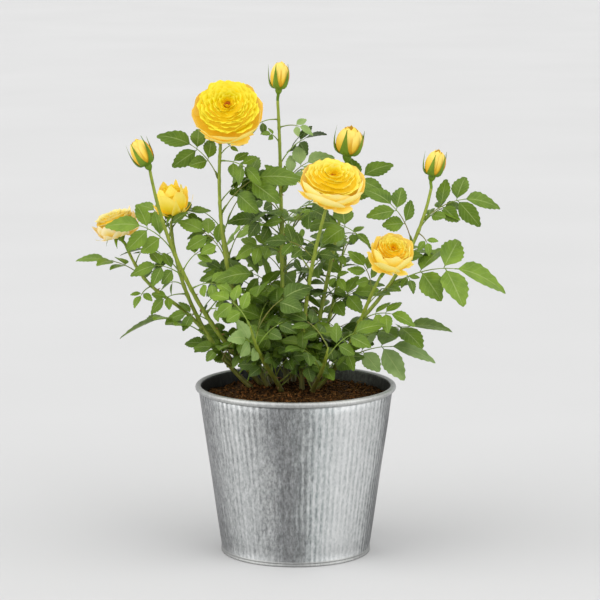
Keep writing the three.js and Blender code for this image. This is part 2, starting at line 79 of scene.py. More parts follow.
# Pot. The points of its foot and its lip are distances out and up, from the foot's edge and from the
# start of the rim's bead.
POT_HEIGHT = 161
RIM_RADIUS = 95
BEAD_RADIUS = 2.75
BEAD_TURN = (-0.57 * pi, 1.05 * pi)
BEAD_POINTS = 14
FOOT_RADIUS = 70
FOOT_PROFILE = ((-1.6, 0.0), (0, 0.0), (1, 0.6), (1, 2.2), (0.45, 2.7), (0.95, 3.2), (0.95, 4.0), (0.5, 4.6))
LIP_PROFILE = ((-0.05, -1.2), (-0.6, -0.5))
WALL = 1.2
WALL_ROWS = 16
INSIDE_ROWS = 6
RIM_EDGE = POT_HEIGHT - 2 * BEAD_RADIUS - 0.4
FOOT_EDGE = 4.7
INSIDE_TOP = POT_HEIGHT - 1.5
INWARD = -0.3
RIBS = 92
RIB_DEPTH = 0.26
RIB_TOP = POT_HEIGHT - 2 * BEAD_RADIUS - 2
RIB_FOOT = 5.5
RIB_PATCH = (5, 0.02)
POT_SIDES = 4 * RIBS
SMOOTH_BELOW = 50
# How high the painted shade at the pot's foot reaches
FOOT_SHADE_HEIGHT = 24

# Soil. Its crumbs are layers of noise: a scale, a roughness, a spread, a count and a height. A lump's
# finish, 0 dark or 1 brown, is a draw times its deal.
SOIL_TOP = 155
SOIL_EDGE = 149
SOIL_SINK = 1.2
SOIL_GAP = 0.6
SOIL_FLOOR = WALL + 0.3
MOUND_RADIUS = 62
MOUND_TOP = 0.7 * MOUND_RADIUS
MOUND_FOOT = RIM_RADIUS - 8
CRUMBS = ((0.06, 0.8, 2.0, 3, 1.6), (0.32, 0.9, 2.1, 4, 1.1))
SOIL_SIDES = 128
SOIL_RINGS = 44
LUMPS = 1500
LUMP_SIZE = 0.7
FOOT_LUMPS = 22
FOOT_HEAP = 7.5
LUMP_DEAL = 1.7
FIBRES = 260
FIBRE_LENGTH = (5, 14)
FIBRE_RISE = 12
FIBRE_RADII = (0.3, 0.28, 0.24, 0.15)

# Canes. Thorns start at a share of the cane and bear on over a stretch of it. A thorn's outline is a share
# of its length, and how wide it is there.
CANE_FOOT_RADIUS = 2.4
CANE_TIP_RADIUS = 1.4
BRANCH_RADIUS = 1.9
CANE_ROOT = -0.03
ROOT_FLARE = 0.5
ROOT_FLARE_SHARE = 0.06
CANE_SIDES = 12
CANE_STEP = 2.5
LENGTH_STEPS = 24
NODE_SWELLING = 0.22
NODE_REACH = 2.6
BARK_RELIEF = 0.07
# Height from which the woody brown and painted shade at the canes' feet begin
WOODY_SHADE_TOP = 202
THIN_SHARE = 0.15
THIN_TIP = 0.4
THORN_LENGTH = 3.4
THORN_EVERY = 17
THORN_SHARE = 0.85
THORN_FIRST = 0.06
THORN_STRETCH = 0.8
THORN_OUTLINE = ((0, 0.34), (0.35, 0.2), (0.7, 0.09), (1, 0.01))
THORN_DROOP = 0.35
THORN_TIP = (1.01, 0.36)
TWIG_SIDES = 6
TWIG_RADII = (0.8, 0.75, 0.7, 0.62, 0.55)

# Leaves. Most values are shares of a compound leaf's length, from its node to its end leaflet's tip.
RACHIS = 0.56
SIDE_LEAFLET = 0.36
INNER_LEAFLET = 0.86
FIRST_PAIR = 0.47
PAIR_STEP = 0.2
PAIR_STAGGER = 0.012
LEAF_ARCH = 0.17
LEAF_DROOP = 0.35
LEAF_LEAN = 0.3
LEAFLET_ANGLE = 62
LEAFLET_SWAY = 16
END_SWAY = 14
LEAFLET_ROLL = 40
LEAFLET_PITCH = 30
THREE_LEAFLETS_BELOW = 46
RACHIS_RADIUS = 0.6
RACHIS_STEPS = 9
LEAFLET_STATIONS = 14
LEAFLET_HALF_WIDTH = 0.31
ROUND_LEAFLET = 0.4
LEAFLET_NECK = 0.09
ACROSS_STEPS = (-1, -0.5, 0, 0.5, 1)
TOOTH = 0.013
STIPULE_LENGTH = 0.13
STIPULE_WIDTH = 0.028
STIPULE_OUTLINE = ((0, 0.4), (0.4, 0.9), (0.75, 0.6), (1, 0.05))

# How far a leaf's face turns up, away from the plant's middle, and to the front
FACE_UP = 0.6
FACE_OUT = 0.25
FACE_FRONT = 0.95
SHOOT_FACE_FRONT = 0.35

# Leaves that the front doesn't show, spread over the back of each cane
BACK_FIRST = 0.6
BACK_LAST = 0.84
BACK_HEADING = 90
BACK_SPREAD = 80
BACK_RISE = 22
BACK_LENGTH = 56
GOLDEN_SHARE = 0.618

# Each flowering cane is one curve: its foot on the soil, or where it leaves another cane, two points
# that steer it, and its tip under the flower. Its leaves start at the share named leafy, and each row
# of leaves is a share of the cane, a compass heading (0 right, 90 back), a rise, a length and, for a
# leaf seen more from its edge, how far its face turns to the front. More leaves grow behind. A flower is
# its kind, its middle, the heading and the rise that it looks along, its radius and its depth.
FLOWERING_CANES = [
    dict(name="left_low", leafy=0.3, behind=2,
         curve=[(-43, 12, SOIL_TOP), (-86, 13, 195), (-114, 19, 251), (-118, 24, 310)],
         leaves=[(0.34, 190, 8, 87, 0.2), (0.61, 212, -21, 42), (0.66, 130, -15, 35), (0.94, 160, 35, 48),
                 (0.97, 10, 25, 41)],
         flower=("cup", (-117, 20, 334), 230, 78, 16, 28)),
    dict(name="left_tall", leafy=0.15, behind=2,
         curve=[(-32, 22, SOIL_TOP), (-90, 14, 217), (-122, -10, 288), (-135, -30, 369)],
         leaves=[(0.18, 295, -20, 38), (0.32, 203, 6, 45), (0.37, 310, 0, 34), (0.48, 330, 0, 46),
                 (0.53, 200, 10, 54), (0.56, 30, 30, 42), (0.64, 197, 25, 72, 0.85)],
         flower=("bud", (-143, -32, 385), 175, 62, 8.5, 27)),
    dict(name="top_left", leafy=0.25, behind=3,
         curve=[(-26, 14, SOIL_TOP), (-63, 12, 225), (-76, 3, 312), (-70, -4, 389)],
         leaves=[(0.28, 330, 5, 40), (0.41, 150, 40, 40), (0.53, 170, 35, 59), (0.71, 345, 30, 88),
                 (0.85, 170, 35, 72), (0.93, 330, -25, 48), (0.95, 20, 25, 26), (0.98, 210, 45, 20)],
         flower=("rosette", (-63, -14, 422), 270, 38, 31, 33)),
    dict(name="top", leafy=0.12, behind=4,
         curve=[(-9, 26, SOIL_TOP), (-15, 27, 248), (-12, 35, 341), (-17, 40, 425)],
         leaves=[(0.15, 220, 20, 44), (0.21, 325, 45, 38), (0.28, 220, 25, 82), (0.38, 325, 30, 42),
                 (0.46, 205, -5, 50), (0.51, 210, 15, 60), (0.56, 20, -5, 40), (0.6, 235, 60, 52),
                 (0.67, 15, 30, 62), (0.84, 215, 30, 24), (0.9, 340, -10, 34), (0.93, 195, -25, 32)],
         flower=("bud", (-15, 39, 450), 30, 85, 8, 27)),
    dict(name="middle", leafy=0.32, behind=1,
         curve=[(6, 2, SOIL_TOP), (4, -1, 220), (14, -30, 282), (29, -50, 338)],
         leaves=[(0.37, 266, -34, 43), (0.69, 190, 20, 50), (0.76, 140, 0, 34)],
         flower=("rosette", (34, -54, 360), 284, 58, 29, 27)),
    dict(name="right_tall", leafy=0.26, behind=3,
         curve=[(14, 24, SOIL_TOP), (19, 25, 226), (43, 33, 295), (48, 38, 360)],
         leaves=[(0.31, 345, 20, 68), (0.49, 295, -10, 36), (0.58, 295, 0, 30), (0.68, 325, -5, 38),
                 (0.8, 15, 40, 67)],
         flower=("bud", (51, 37, 388), 330, 80, 11.5, 28)),
    dict(name="right_front", leafy=0.16, behind=2,
         curve=[(20, 6, SOIL_TOP), (56, 0, 189), (61, -22, 235), (79, -40, 270)],
         leaves=[(0.2, 355, 5, 94), (0.3, 280, -5, 38), (0.38, 5, 1, 100, -0.12), (0.6, 330, 0, 56),
                 (0.82, 200, 60, 48)],
         flower=("cup", (89, -48, 293), 284, 46, 20, 24)),
    dict(name="far_left", parent="left_low", leafy=0.3, behind=1,
         curve=[(-88, 15, 210), (-122, 9, 251), (-138, 15, 236), (-160, 4, 293)],
         leaves=[(0.62, 240, -35, 33), (0.73, 175, 8, 68, -0.25), (0.86, 70, 20, 30)],
         flower=("cup", (-169, 2, 314), 200, 70, 20, 23)),
    dict(name="far_right", parent="right_front", leafy=0.2, behind=2,
         curve=[(58, -14, 221), (94, -10, 257), (118, -4, 302), (127, 4, 346)],
         leaves=[(0.29, 355, 0, 112), (0.43, 300, -40, 32), (0.6, 160, 45, 72), (0.69, 300, -40, 30),
                 (0.77, 5, 11, 76)],
         flower=("bud", (131, 3, 371), 350, 76, 8.5, 26)),
]

# Shoots without a flower fill the middle and the back. The points that steer one are shares of its way
# out and up.
LEAFY_SHOOTS = [
    dict(name="back_left", foot=(-24, 34), tip=(-70, 96, 292), leaves=7),
    dict(name="back", foot=(-2, 40), tip=(-14, 118, 330), leaves=8),
    dict(name="back_right", foot=(16, 36), tip=(48, 100, 286), leaves=7),
    dict(name="front_left", foot=(-14, -4), tip=(-42, -58, 226), leaves=4),
    dict(name="front_right", foot=(16, -10), tip=(30, -58, 206), leaves=4),
]
SHOOT_FIRST_LEAF = 0.36
SHOOT_LAST_LEAF = 0.99
SHOOT_LOW = dict(out=0.2, up=0.25)
SHOOT_HIGH = dict(out=0.7, up=0.45)
GOLDEN_ANGLE = 137.5
SHOOT_RISE = 28
SHOOT_LEAF_LENGTH = 60
LEAF_SPREAD = 0.2
FIRST_SEED = 41

# Finer twigs between the leaves above, inside the thick middle of the crown, which reaches down to one
# height in the pot's mouth and to another over its rim. A leaf is tried at the samples, shares of its
# length along and across it.
FINE_SEED = 97
TWIG_EVERY = 43
TWIG_LENGTH = 30
TWIG_RISE = (10, 50)
TWIG_LEAVES = 2
TWIG_LEAF_LENGTH = 72
TWIG_LAST = 0.95
TWIG_FIRST = 0.06
BRANCH_TWIG_FIRST = 0.1
TWIG_LIFT = 0.12
TWIG_FACE_FRONT = 0.5
LOW_TWIGS = 5
LOW_SHARES = (0.02, 0.16)
LOW_RISE = (30, 65)
LOW_LENGTH = (12, 22)
LOW_LEAF_LENGTH = 40
LEAF_SAMPLES = ((1, 0), (0.8, 0.15), (0.8, -0.15), (0.55, 0.3), (0.55, -0.3), (0.3, 0))
CROWN_MIDDLE = (-8, 28, 250)
CROWN_REACH = (112, 92, 122)
CROWN_INSIDE = RIM_RADIUS - 14
CROWN_LOWEST = (SOIL_TOP + 1, POT_HEIGHT + 3)
FLOWER_ROOM = 5

# Where the sky shows through the crown from the front: across, height and radius on the plant's middle
# plane. The line of sight falls by the slope on its way to the back.
OPENINGS = [(54, 259, 11), (-28, 272, 11), (99, 240, 10), (122, 233, 16), (-82, 316, 10), (-45, 298, 9),
            (87, 316, 8), (-81, 238, 8), (42, 218, 8), (61, 371, 8), (-103, 293, 8), (74, 314, 11)]
MIDDLE_DEPTH = 10
SIGHT_SLOPE = 0.17

# Finishes dealt out to the leaves: 0 deep, 1 green, 2 fresh, 3 pale. A fine twig's is a draw times its deal.
LEAF_DEAL = (0, 1, 1, 2, 1, 2, 1, 3, 2)
TWIG_DEAL = 2.1

# How each open flower is filled: its whorls of inner petals, the share of its radius that they fill, how
# far its face falls to the rim and dips to the eye, how high its broad outer petals stand, how far in they
# lean, how loose and how pointed they are, and how many petals bend away under it, with how far they reach
OPEN_FLOWERS = dict(
    top_left=(9, 0.93, 0.36, 0.1, 0.56, 0.95, 0.35, 0.0, 12, 0.16),
    middle=(7, 0.92, 0.36, 0.18, 0.74, 0.84, 0.15, 0.04, 12, 0.22),
    right_front=(6, 0.78, 0.34, 0.14, 0.96, 0.56, 0.1, 0.06, 13, 0.26),
    left_low=(4, 0.8, 0.5, 0.06, 1.02, 0.4, 0.35, 0.06, 9, 0.36),
    far_left=(4, 0.96, 0.2, 0.1, 0.86, 0.98, 0.7, 0.45, 15, 0.34),
)
HEART_SIDES = 20
HEART_ROWS = 14
FIRST_WHORL = 5
WRAP_PETALS = 10
WRAP_START = 40
WRAP_SPREAD = (48, 40)
BUD_PETALS = 9
BUD_SPREAD = 66
PETAL_ROWS = 9
PETAL_COLUMNS = 8
SEPALS = 5
SEPAL_LENGTH = 18
SEPAL_ROWS = 8
HIP_RADIUS = 4.2
SMALL_HIP = 0.4
HIP_LOW = -1.7
HIP_HIGH = 0.5
HIP_SIDES = 14
HIP_ROWS = 10
STALK_STEPS = 10
STALK_SIDES = 10

UP = Vector((0, 0, 1))
RIGHT = Vector((1, 0, 0))
FRONT = Vector((0, -1, 0))

# The side that the corners of a cane are counted from
BARK_SIDE = Vector((0.25, 0.95, 0.1))

# Where the corners of a triangle lie in the pattern
FAN_PLACES = ((0, 0), (1, 0), (0.5, 1))


def mix(a, b, share):
    return a + (b - a) * share


def clamp(value):
    return min(1.0, max(0.0, value))


def seeded(seed):
    """A repeatable stream of numbers from 0 to 1."""
    state = seed

    def draw():
        nonlocal state
        state = (state * SEED_STEP + SEED_SHIFT) % SEED_RANGE
        return state / SEED_RANGE

    return draw


def direction(heading, rise):
    level = cos(radians(rise))
    return Vector((cos(radians(heading)) * level, sin(radians(heading)) * level, sin(radians(rise))))


class Cubic:
    """A curve of four control points."""

    def __init__(self, points):
        self.points = [Vector(point) for point in points]

    def point(self, share):
        a, b, c, d = self.points
        rest = 1 - share
        return a * rest ** 3 + b * 3 * rest ** 2 * share + c * 3 * rest * share ** 2 + d * share ** 3

    def tangent(self, share):
        a, b, c, d = self.points
        rest = 1 - share
        return ((b - a) * rest ** 2 + (c - b) * 2 * rest * share + (d - c) * share ** 2).normalized()

    def length(self):
        steps = [self.point(i / LENGTH_STEPS) for i in range(LENGTH_STEPS + 1)]
        return sum((b - a).length for a, b in zip(steps, steps[1:]))


class Pile:
    """One piece made of many small things: corners, faces, their finishes and pattern places."""

    def __init__(self):
        self.corners = []
        self.faces = []
        self.finishes = []
        self.places = []

    def face(self, corners, finish, places=FAN_PLACES):
        self.faces.append(corners)
        self.finishes.append(finish)
        self.places.extend(places)

    def sheet(self, rows, finish=0, around=False):
        """A grid of faces. Around joins each row's end to its start."""
        first = len(self.corners)
        wide = len(rows[0])
        for row in rows:
            self.corners.extend(row)
        columns = wide if around else wide - 1
        for i in range(len(rows) - 1):
            for j in range(columns):
                after = (j + 1) % wide
                low, high = first + i * wide, first + (i + 1) * wide
                u, v = j / columns, i / (len(rows) - 1)
                du, dv = 1 / columns, 1 / (len(rows) - 1)
                self.face((low + j, high + j, high + after, low + after), finish,
                          ((u, v), (u, v + dv), (u + du, v + dv), (u + du, v)))

    def cap(self, row, middle, finish):
        """A fan that closes a round end."""
        first = len(self.corners)
        self.corners.extend(row)
        self.corners.append(middle)
        for j in range(len(row)):
            self.face((first + j, first + (j + 1) % len(row), first + len(row)), finish)

    def body(self, rows, foot, tip, finish=0):
        """A sheet that goes all around, closed at its foot and its tip."""
        self.sheet(rows, finish, around=True)
        self.cap(rows[0], foot, finish)
        self.cap(rows[-1][::-1], tip, finish)

    def piece(self, name, materials, slot, *nodes):
        """The finished piece, which stands for the CAD nodes named."""
        mesh = bpy.data.meshes.new(name)
        mesh.from_pydata([corner * MM for corner in self.corners], [], self.faces)
        for material in materials:
            mesh.materials.append(material)
        mesh.polygons.foreach_set("material_index", self.finishes)
        mesh.polygons.foreach_set("use_smooth", [True] * len(self.faces))
        layer = mesh.uv_layers.new(name="Pattern")
        layer.data.foreach_set("uv", [value for place in self.places for value in place])
        mesh.update()
        made = bpy.data.objects.new(name, mesh)
        bpy.context.scene.collection.objects.link(made)
        close_seams(made)
        settle(made, slot, *nodes)


def close_seams(made):
    """Joins the corners that meet, where a round sheet is closed by its cap."""
    bpy.ops.object.select_all(action="DESELECT")
    made.select_set(True)
    bpy.context.view_layer.objects.active = made
    bpy.ops.object.mode_set(mode="EDIT")
    bpy.ops.mesh.select_all(action="SELECT")
    bpy.ops.mesh.remove_doubles(threshold=SEAM)
    bpy.ops.object.mode_set(mode="OBJECT")


def settle(made, slot, *nodes):
    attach(made, "root")
    if nodes:
        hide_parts(*nodes)


def tube(pile, points, radii, sides, finish=0, across=RIGHT, relief=None):
    """A round limb through points, with its ends closed. Relief gives the swelling of its corners."""
    rows = []
    for i, point in enumerate(points):
        before, after = points[max(0, i - 1)], points[min(len(points) - 1, i + 1)]
        along = (after - before).normalized()
        side = along.cross(across).normalized()
        other = side.cross(along)
        row = []
        for j in range(sides):
            angle = tau * j / sides
            swell = relief(i, angle) if relief else 1
            row.append(point + (side * cos(angle) + other * sin(angle)) * radii[i] * swell)
        rows.append(row)
    pile.sheet(rows, finish, around=True)
    tip = points[-1] + (points[-1] - points[-2]).normalized() * radii[-1] * 0.8
    pile.cap(rows[-1][::-1], tip, finish)
    pile.cap(rows[0], points[0], finish)


# Materials
def colour(code):
    """The linear colour of a hex code."""
    values = [int(code[i:i + 2], 16) / 255 for i in (1, 3, 5)]
    return (*[v / 12.92 if v <= 0.04045 else ((v + 0.055) / 1.055) ** 2.4 for v in values], 1)


class Finish:
    """A material's nodes, made and linked by short calls."""

    def __init__(self, name, roughness, metallic=0.0, specular=0.5):
        self.material = bpy.data.materials.new(name)
        self.material.use_nodes = True
        self.nodes = self.material.node_tree.nodes
        self.links = self.material.node_tree.links
        self.shader = self.nodes["Principled BSDF"]
        self.paint("Roughness", roughness)
        self.paint("Metallic", metallic)
        self.paint("Specular IOR Level", specular)
        self.place = self.nodes.new("ShaderNodeTexCoord")

    def feed(self, socket, value):
        """Links a socket to another node's output, or sets its value."""
        if isinstance(value, bpy.types.NodeSocket):
            self.links.new(value, socket)
        else:
            socket.default_value = value

    def paint(self, socket, value):
        self.feed(self.shader.inputs[socket], value)

    def node(self, kind, values=None, **settings):
        made = self.nodes.new("ShaderNode" + kind)
        for name, value in settings.items():
            setattr(made, name, value)
        for name, value in (values or {}).items():
            self.feed(made.inputs[name], value)
        return made

    def part(self, axis, source="Object"):
        return self.node("SeparateXYZ", {"Vector": self.place.outputs[source]}).outputs[axis]

    def stretched(self, scale, source="Object"):
        return self.node("Mapping", {"Vector": self.place.outputs[source], "Scale": scale}).outputs["Vector"]

    def noise(self, scale, detail=3.0, place=None, roughness=0.55):
        vector = place or self.place.outputs["Object"]
        values = {"Vector": vector, "Scale": scale, "Detail": detail, "Roughness": roughness}
        return self.node("TexNoise", values).outputs["Fac"]

    def waver(self, scale, strength):
        """Noise on both sides of zero."""
        return self.maths("MULTIPLY", self.maths("SUBTRACT", self.noise(scale), 0.5), strength)

    def ramp(self, factor, *stops):
        made = self.node("ValToRGB", {"Fac": factor})
        band = made.color_ramp
        while len(band.elements) < len(stops):
            band.elements.new(0.5)
        for element, (place, code) in zip(band.elements, stops):
            element.position = place
            element.color = colour(code)
        return made.outputs["Color"]

    def graded(self, value, start, end, low, high):
        """Runs from low to high while the value runs from its start to its end."""
        values = {"Value": value, "From Min": start, "From Max": end, "To Min": low, "To Max": high}
        return self.node("MapRange", values).outputs[0]

    def maths(self, operation, *values):
        made = self.node("Math", operation=operation)
        for socket, value in zip(made.inputs, values):
            self.feed(socket, value)
        return made.outputs[0]

    def blend(self, factor, first, second, blend_type="MIX"):
        """The colour mix of a node whose colour sockets are the seventh and eighth of its inputs."""
        made = self.node("Mix", data_type="RGBA", blend_type=blend_type)
        for place, value in ((0, factor), (6, first), (7, second)):
            self.feed(made.inputs[place], value)
        return made.outputs[2]

    def bump(self, height, strength, distance):
        made = self.node("Bump", {"Height": height, "Strength": strength, "Distance": distance})
        self.paint("Normal", made.outputs["Normal"])


def zinc_finish(name, reflection_bands, rib_shading_strength, spangled):
    """Galvanised sheet: soft upright bands of painted reflection, faint ribs with painted light and shade on
    their sides, fine streaks and a mottled spangle.
    Bands are shares of the way round the pot, each with its grey."""
    made = Finish(name, 0.42, 0.75)
    around = made.node("TexGradient", {"Vector": made.place.outputs["Object"]}, gradient_type="RADIAL")
    turn = around.outputs["Fac"]
    waver = made.waver(14, 0.05)
    # Painted reflection: the bands round the pot stand for the studio seen in the metal
    sheet = made.ramp(made.maths("ADD", turn, waver), *reflection_bands)
    phase = made.maths("ADD", made.maths("MULTIPLY", turn, RIBS * tau), made.maths("MULTIPLY", waver, 90.0))
    patches = made.noise(1, 2, made.stretched((17, 17, 5)))
    depth = made.maths("MULTIPLY", made.ramp(patches, (0.42, "#1c1c1c"), (0.62, "#ffffff")), 0.5)
    # Painted light and shade: light and dark stripes along the ribs
    rib_shading = made.maths("ADD", made.maths("MULTIPLY", made.maths("SINE", phase), depth), 0.5)
    streaks = made.noise(1, 4, made.stretched((420, 420, 14)), 0.6)
    mottle = made.noise(1, 5, made.stretched((420, 420, 210)), 0.8)
    for strength, grain, *stops in (
        (rib_shading_strength, rib_shading, (0.2, "#5a5b5c"), (0.8, "#b8b8b8")),
        (spangled, streaks, (0.3, "#545455"), (0.7, "#bebebe")),
        (spangled, mottle, (0.38, "#262728"), (0.61, "#d2d2d2")),
    ):
        sheet = made.blend(strength, sheet, made.ramp(grain, *stops), "OVERLAY")
    # Painted shade: the sheet darkens towards the foot
    foot_shade = made.graded(made.part("Z"), 0.0, FOOT_SHADE_HEIGHT * MM, 0.3, 0.0)
    made.paint("Base Color", made.blend(foot_shade, sheet, colour("#6e6f6e")))
    made.paint("Roughness", made.graded(mottle, 0.0, 1.0, 0.32, 0.56))
    made.bump(made.maths("ADD", streaks, mottle), 0.3, 0.0005)
    return made.material


def soil_finish(name, dark, light):
    made = Finish(name, 0.96, specular=0.1)
    crumbs = made.noise(420, 6, roughness=0.75)
    made.paint("Base Color", made.ramp(crumbs, (0.42, dark), (0.62, light)))
    made.bump(crumbs, 0.9, 0.0012)
    return made.material


def bark_finish():
    """Green bark, blotched with brown, and dark brown at the canes' feet: woody bark together with painted
    shade under the crown.
    """
    made = Finish("bark", 0.5)
    streaks = made.noise(1, 4, made.stretched((500, 500, 60)), 0.65)
    green = made.ramp(streaks, (0.3, "#6c891c"), (0.7, "#a4b53a"))
    green = made.blend(made.maths("MULTIPLY", made.noise(34), 0.38), green, colour("#766326"))
    wood = made.ramp(streaks, (0.3, "#3a3012"), (0.7, "#6d5c2e"))
    # Woody bark and painted shade: the bark turns dark brown towards the soil
    woody_shade = made.graded(made.part("Z"), WOODY_SHADE_TOP * MM, SOIL_TOP * MM, 0.0, 0.85)
    made.paint("Base Color", made.blend(woody_shade, green, wood))
    made.bump(streaks, 0.35, 0.0004)
    return made.material


def blotched_finish(name, roughness, scale, start, end, specular=0.5, grain=0):
    """Two colours blotched together by noise. Each comes with its place on the noise's range."""
    made = Finish(name, roughness, specular=specular)
    made.paint("Base Color", made.ramp(made.noise(scale, 2), start, end))
    if grain:
        made.bump(made.noise(grain, 2), 0.2, 0.0002)
    return made.material


def leaf_finish(name, dark, light, roughness=0.44, veined=True):
    """A leaf's two greens, with a pale midrib and side veins along its own pattern."""
    made = Finish(name, roughness, specular=0.28)
    green = made.ramp(made.noise(60, 4), (0.3, dark), (0.7, light))
    if veined:
        off = made.maths("ABSOLUTE", made.maths("SUBTRACT", made.part("X", "UV"), 0.5))
        rise = made.maths("SUBTRACT", made.part("Y", "UV"), made.maths("MULTIPLY", off, 0.55))
        wave = made.maths("SINE", made.maths("MULTIPLY", rise, 44.0))
        ridge = made.ramp(wave, (0.82, "#000000"), (0.98, "#ffffff"))
        rib = made.ramp(off, (0.012, "#ffffff"), (0.035, "#000000"))
        green = made.blend(made.maths("MULTIPLY", ridge, 0.2), green, colour("#93aa5c"))
        green = made.blend(made.maths("MULTIPLY", rib, 0.45), green, colour("#a9b872"))
        veins = made.blend(1.0, ridge, rib, "LIGHTEN")
        made.bump(made.maths("SUBTRACT", made.noise(500), veins), 0.3, 0.0004)
    made.paint("Base Color", green)
    return made.material


def petal_finish(name, glow, root, middle, rim):
    """The colour runs from the petal's root to its rim, along the piece's own pattern. A faint glow of
    painted light stands for the light that comes through a petal, and lifts the shade between the petals."""
    made = Finish(name, 0.6, specular=0.25)
    cloudy = made.maths("ADD", made.part("Y", "UV"), made.waver(90, 0.22))
    shade = made.ramp(cloudy, (0.2, root), (0.55, middle), (0.85, rim))
    made.paint("Base Color", shade)
    made.paint("Emission Color", shade)
    made.paint("Emission Strength", glow)
    made.bump(made.noise(1, 2, made.stretched((34, 2, 1), "UV")), 0.15, 0.0004)
    return made.material


ZINC = [
    # Bands of painted reflection round the pot: 0 at its left, 0.25 at its front, 0.5 at its right
    zinc_finish("zinc_outside", [
        (0.0, "#9a9b9c"), (0.05, "#b8b9ba"), (0.1, "#d5d6d6"), (0.15, "#dedfdf"), (0.2, "#cfd0d0"),
        (0.228, "#b1b3b4"), (0.262, "#c1c3c3"), (0.29, "#dcdede"), (0.34, "#e8e9e9"), (0.41, "#dfe0e0"),
        (0.46, "#aaacad"), (0.55, "#e3e4e4"), (0.63, "#bcbebe"), (0.72, "#e6e7e7"), (0.8, "#bec0c1"),
        (0.9, "#dcdede"), (1.0, "#9c9d9e"),
    ], 0.6, 0.5),
    # The inside is darker and greener than the outside: painted shade, and a painted reflection of the
    # leaves
    zinc_finish("zinc_inside_painted_shade", [
        (0.0, "#3c3f3d"), (0.5, "#5a5e59"), (0.62, "#747870"), (0.76, "#5c605a"), (0.86, "#434643"),
        (1.0, "#3c3f3d"),
    ], 0.0, 0.5),
    # The bead and the foot's hem: bands of painted reflection of their own
    zinc_finish("zinc_edge", [
        (0.0, "#a0a1a0"), (0.15, "#c6c7c5"), (0.25, "#b3b4b3"), (0.35, "#cccdcb"), (0.5, "#a6a8a7"),
        (0.65, "#c0c1c0"), (0.8, "#a6a8a7"), (1.0, "#a0a1a0"),
    ], 0.0, 0.2),
]
SOIL = [soil_finish("soil_dark", "#0e0803", "#5e3e1c"), soil_finish("soil_brown", "#281806", "#8a5a2e"),
        soil_finish("soil_fibre", "#54391c", "#a87c46")]
BARK = [bark_finish(), blotched_finish("thorn", 0.45, 120, (0.3, "#8a5632"), (0.7, "#b08c5a"))]
TWIG = [blotched_finish("twig", 0.5, 22, (0.45, "#7a962c"), (0.72, "#785f32"), grain=900)]
LEAVES = [leaf_finish("leaf_deep", "#334a0c", "#56721a"), leaf_finish("leaf_green", "#4a6610", "#6e8a22"),
          leaf_finish("leaf_fresh", "#5c7a1a", "#809c30"),
          leaf_finish("leaf_pale", "#74904a", "#9ab26e", 0.5)]
SEPAL = [leaf_finish("sepal", "#567812", "#7e9a28", 0.5, False)]

PETAL_PARTS = ("", "_outer", "_heart_shade", "_eye_shade")
# Painted light: the petals glow a little by themselves, and the eye hardly at all
PETAL_GLOW = 0.2
EYE_GLOW = 0.02

# Each flower's finishes: their name, the painted glow of its outer petals, and the colours from root to rim
# of its inner petals, its outer petals, its heart and its eye. The heart's and the eye's deeper colours are
# the petals' own deeper roots together with painted shade between the petals and in the eye.
PETAL_COLOURS = dict(
    top_left=("lemon", 0.3, "#d0b200 #dccb06 #e4d73c", "#dab01e #e1c43a #e7d16c",
              "#d2a800 #dcb600 #e2c00a", "#a85200 #b86400 #c87800"),
    middle=("soft", 0.28, "#d2b406 #dcc826 #e4d55c", "#dab42c #e1c748 #e8d680",
            "#d2a800 #dab204 #e0bc14", "#b86a00 #c67a00 #d48e00"),
    far_left=("cream", 0.28, "#ceb12c #d6c656 #dfd592", "#d0b03e #dac266 #e3d3a0",
              "#cca220 #d4ac2e #dab640", "#b46808 #c47c10 #d09018"),
    right_front=("wrapped", 0.28, "#d2b010 #dac62c #e3d35c", "#dab62c #e1c848 #e7d578",
                 "#d49a00 #dca804 #e2b40c", "#b84c00 #cc5e00 #dc7400"),
    left_low=("golden", 0.28, "#d4ae06 #dec414 #e5cf40", "#dab210 #e2c62a #e8d15a",
              "#d2a200 #daac04 #e0b60c", "#b86000 #c87400 #d88800"),
    bud=("bud", 0.2, "#d09812 #dab02a #e4c650", "#d49e1a #deb636 #e6ca64"),
)
PETALS = {
    flower: [
        petal_finish("petal_" + name + part, glow, *codes.split())
        for part, glow, codes in zip(PETAL_PARTS, (PETAL_GLOW, outer_glow, PETAL_GLOW, EYE_GLOW), rows)
    ]
    for flower, (name, outer_glow, *rows) in PETAL_COLOURS.items()
}


# Pot
def turned(name, profile, sides):
    """A body of revolution: a disc whose rim is drawn out again and again along the profile."""
    bpy.ops.object.select_all(action="DESELECT")
    radius, level = profile[0]
    bpy.ops.mesh.primitive_circle_add(vertices=sides, radius=radius * MM, fill_type="NGON",
                                      location=(0, 0, level * MM))
    made = bpy.context.object
    made.name = name
    bpy.ops.object.transform_apply(location=True)
    bpy.ops.object.mode_set(mode="EDIT")
    bpy.ops.mesh.select_all(action="SELECT")
    bpy.ops.mesh.flip_normals()
    bpy.ops.mesh.select_mode(type="EDGE")
    for next_radius, next_level in profile[1:]:
        bpy.ops.mesh.extrude_edges_move(TRANSFORM_OT_translate={"value": (0, 0, (next_level - level) * MM)})
        bpy.ops.transform.resize(value=(next_radius / radius, next_radius / radius, 1),
                                 center_override=(0, 0, 0))
        radius, level = next_radius, next_level
    bpy.ops.mesh.edge_face_add()
    bpy.ops.mesh.select_all(action="SELECT")
    bpy.ops.mesh.normals_make_consistent(inside=False)
    bpy.ops.object.mode_set(mode="OBJECT")
    bpy.ops.object.shade_smooth_by_angle(angle=radians(SMOOTH_BELOW))
    return made


def between(start, end, steps):
    """Points on the way from a start to an end, the end among them."""
    return [tuple(mix(a, b, i / steps) for a, b in zip(start, end)) for i in range(1, steps + 1)]


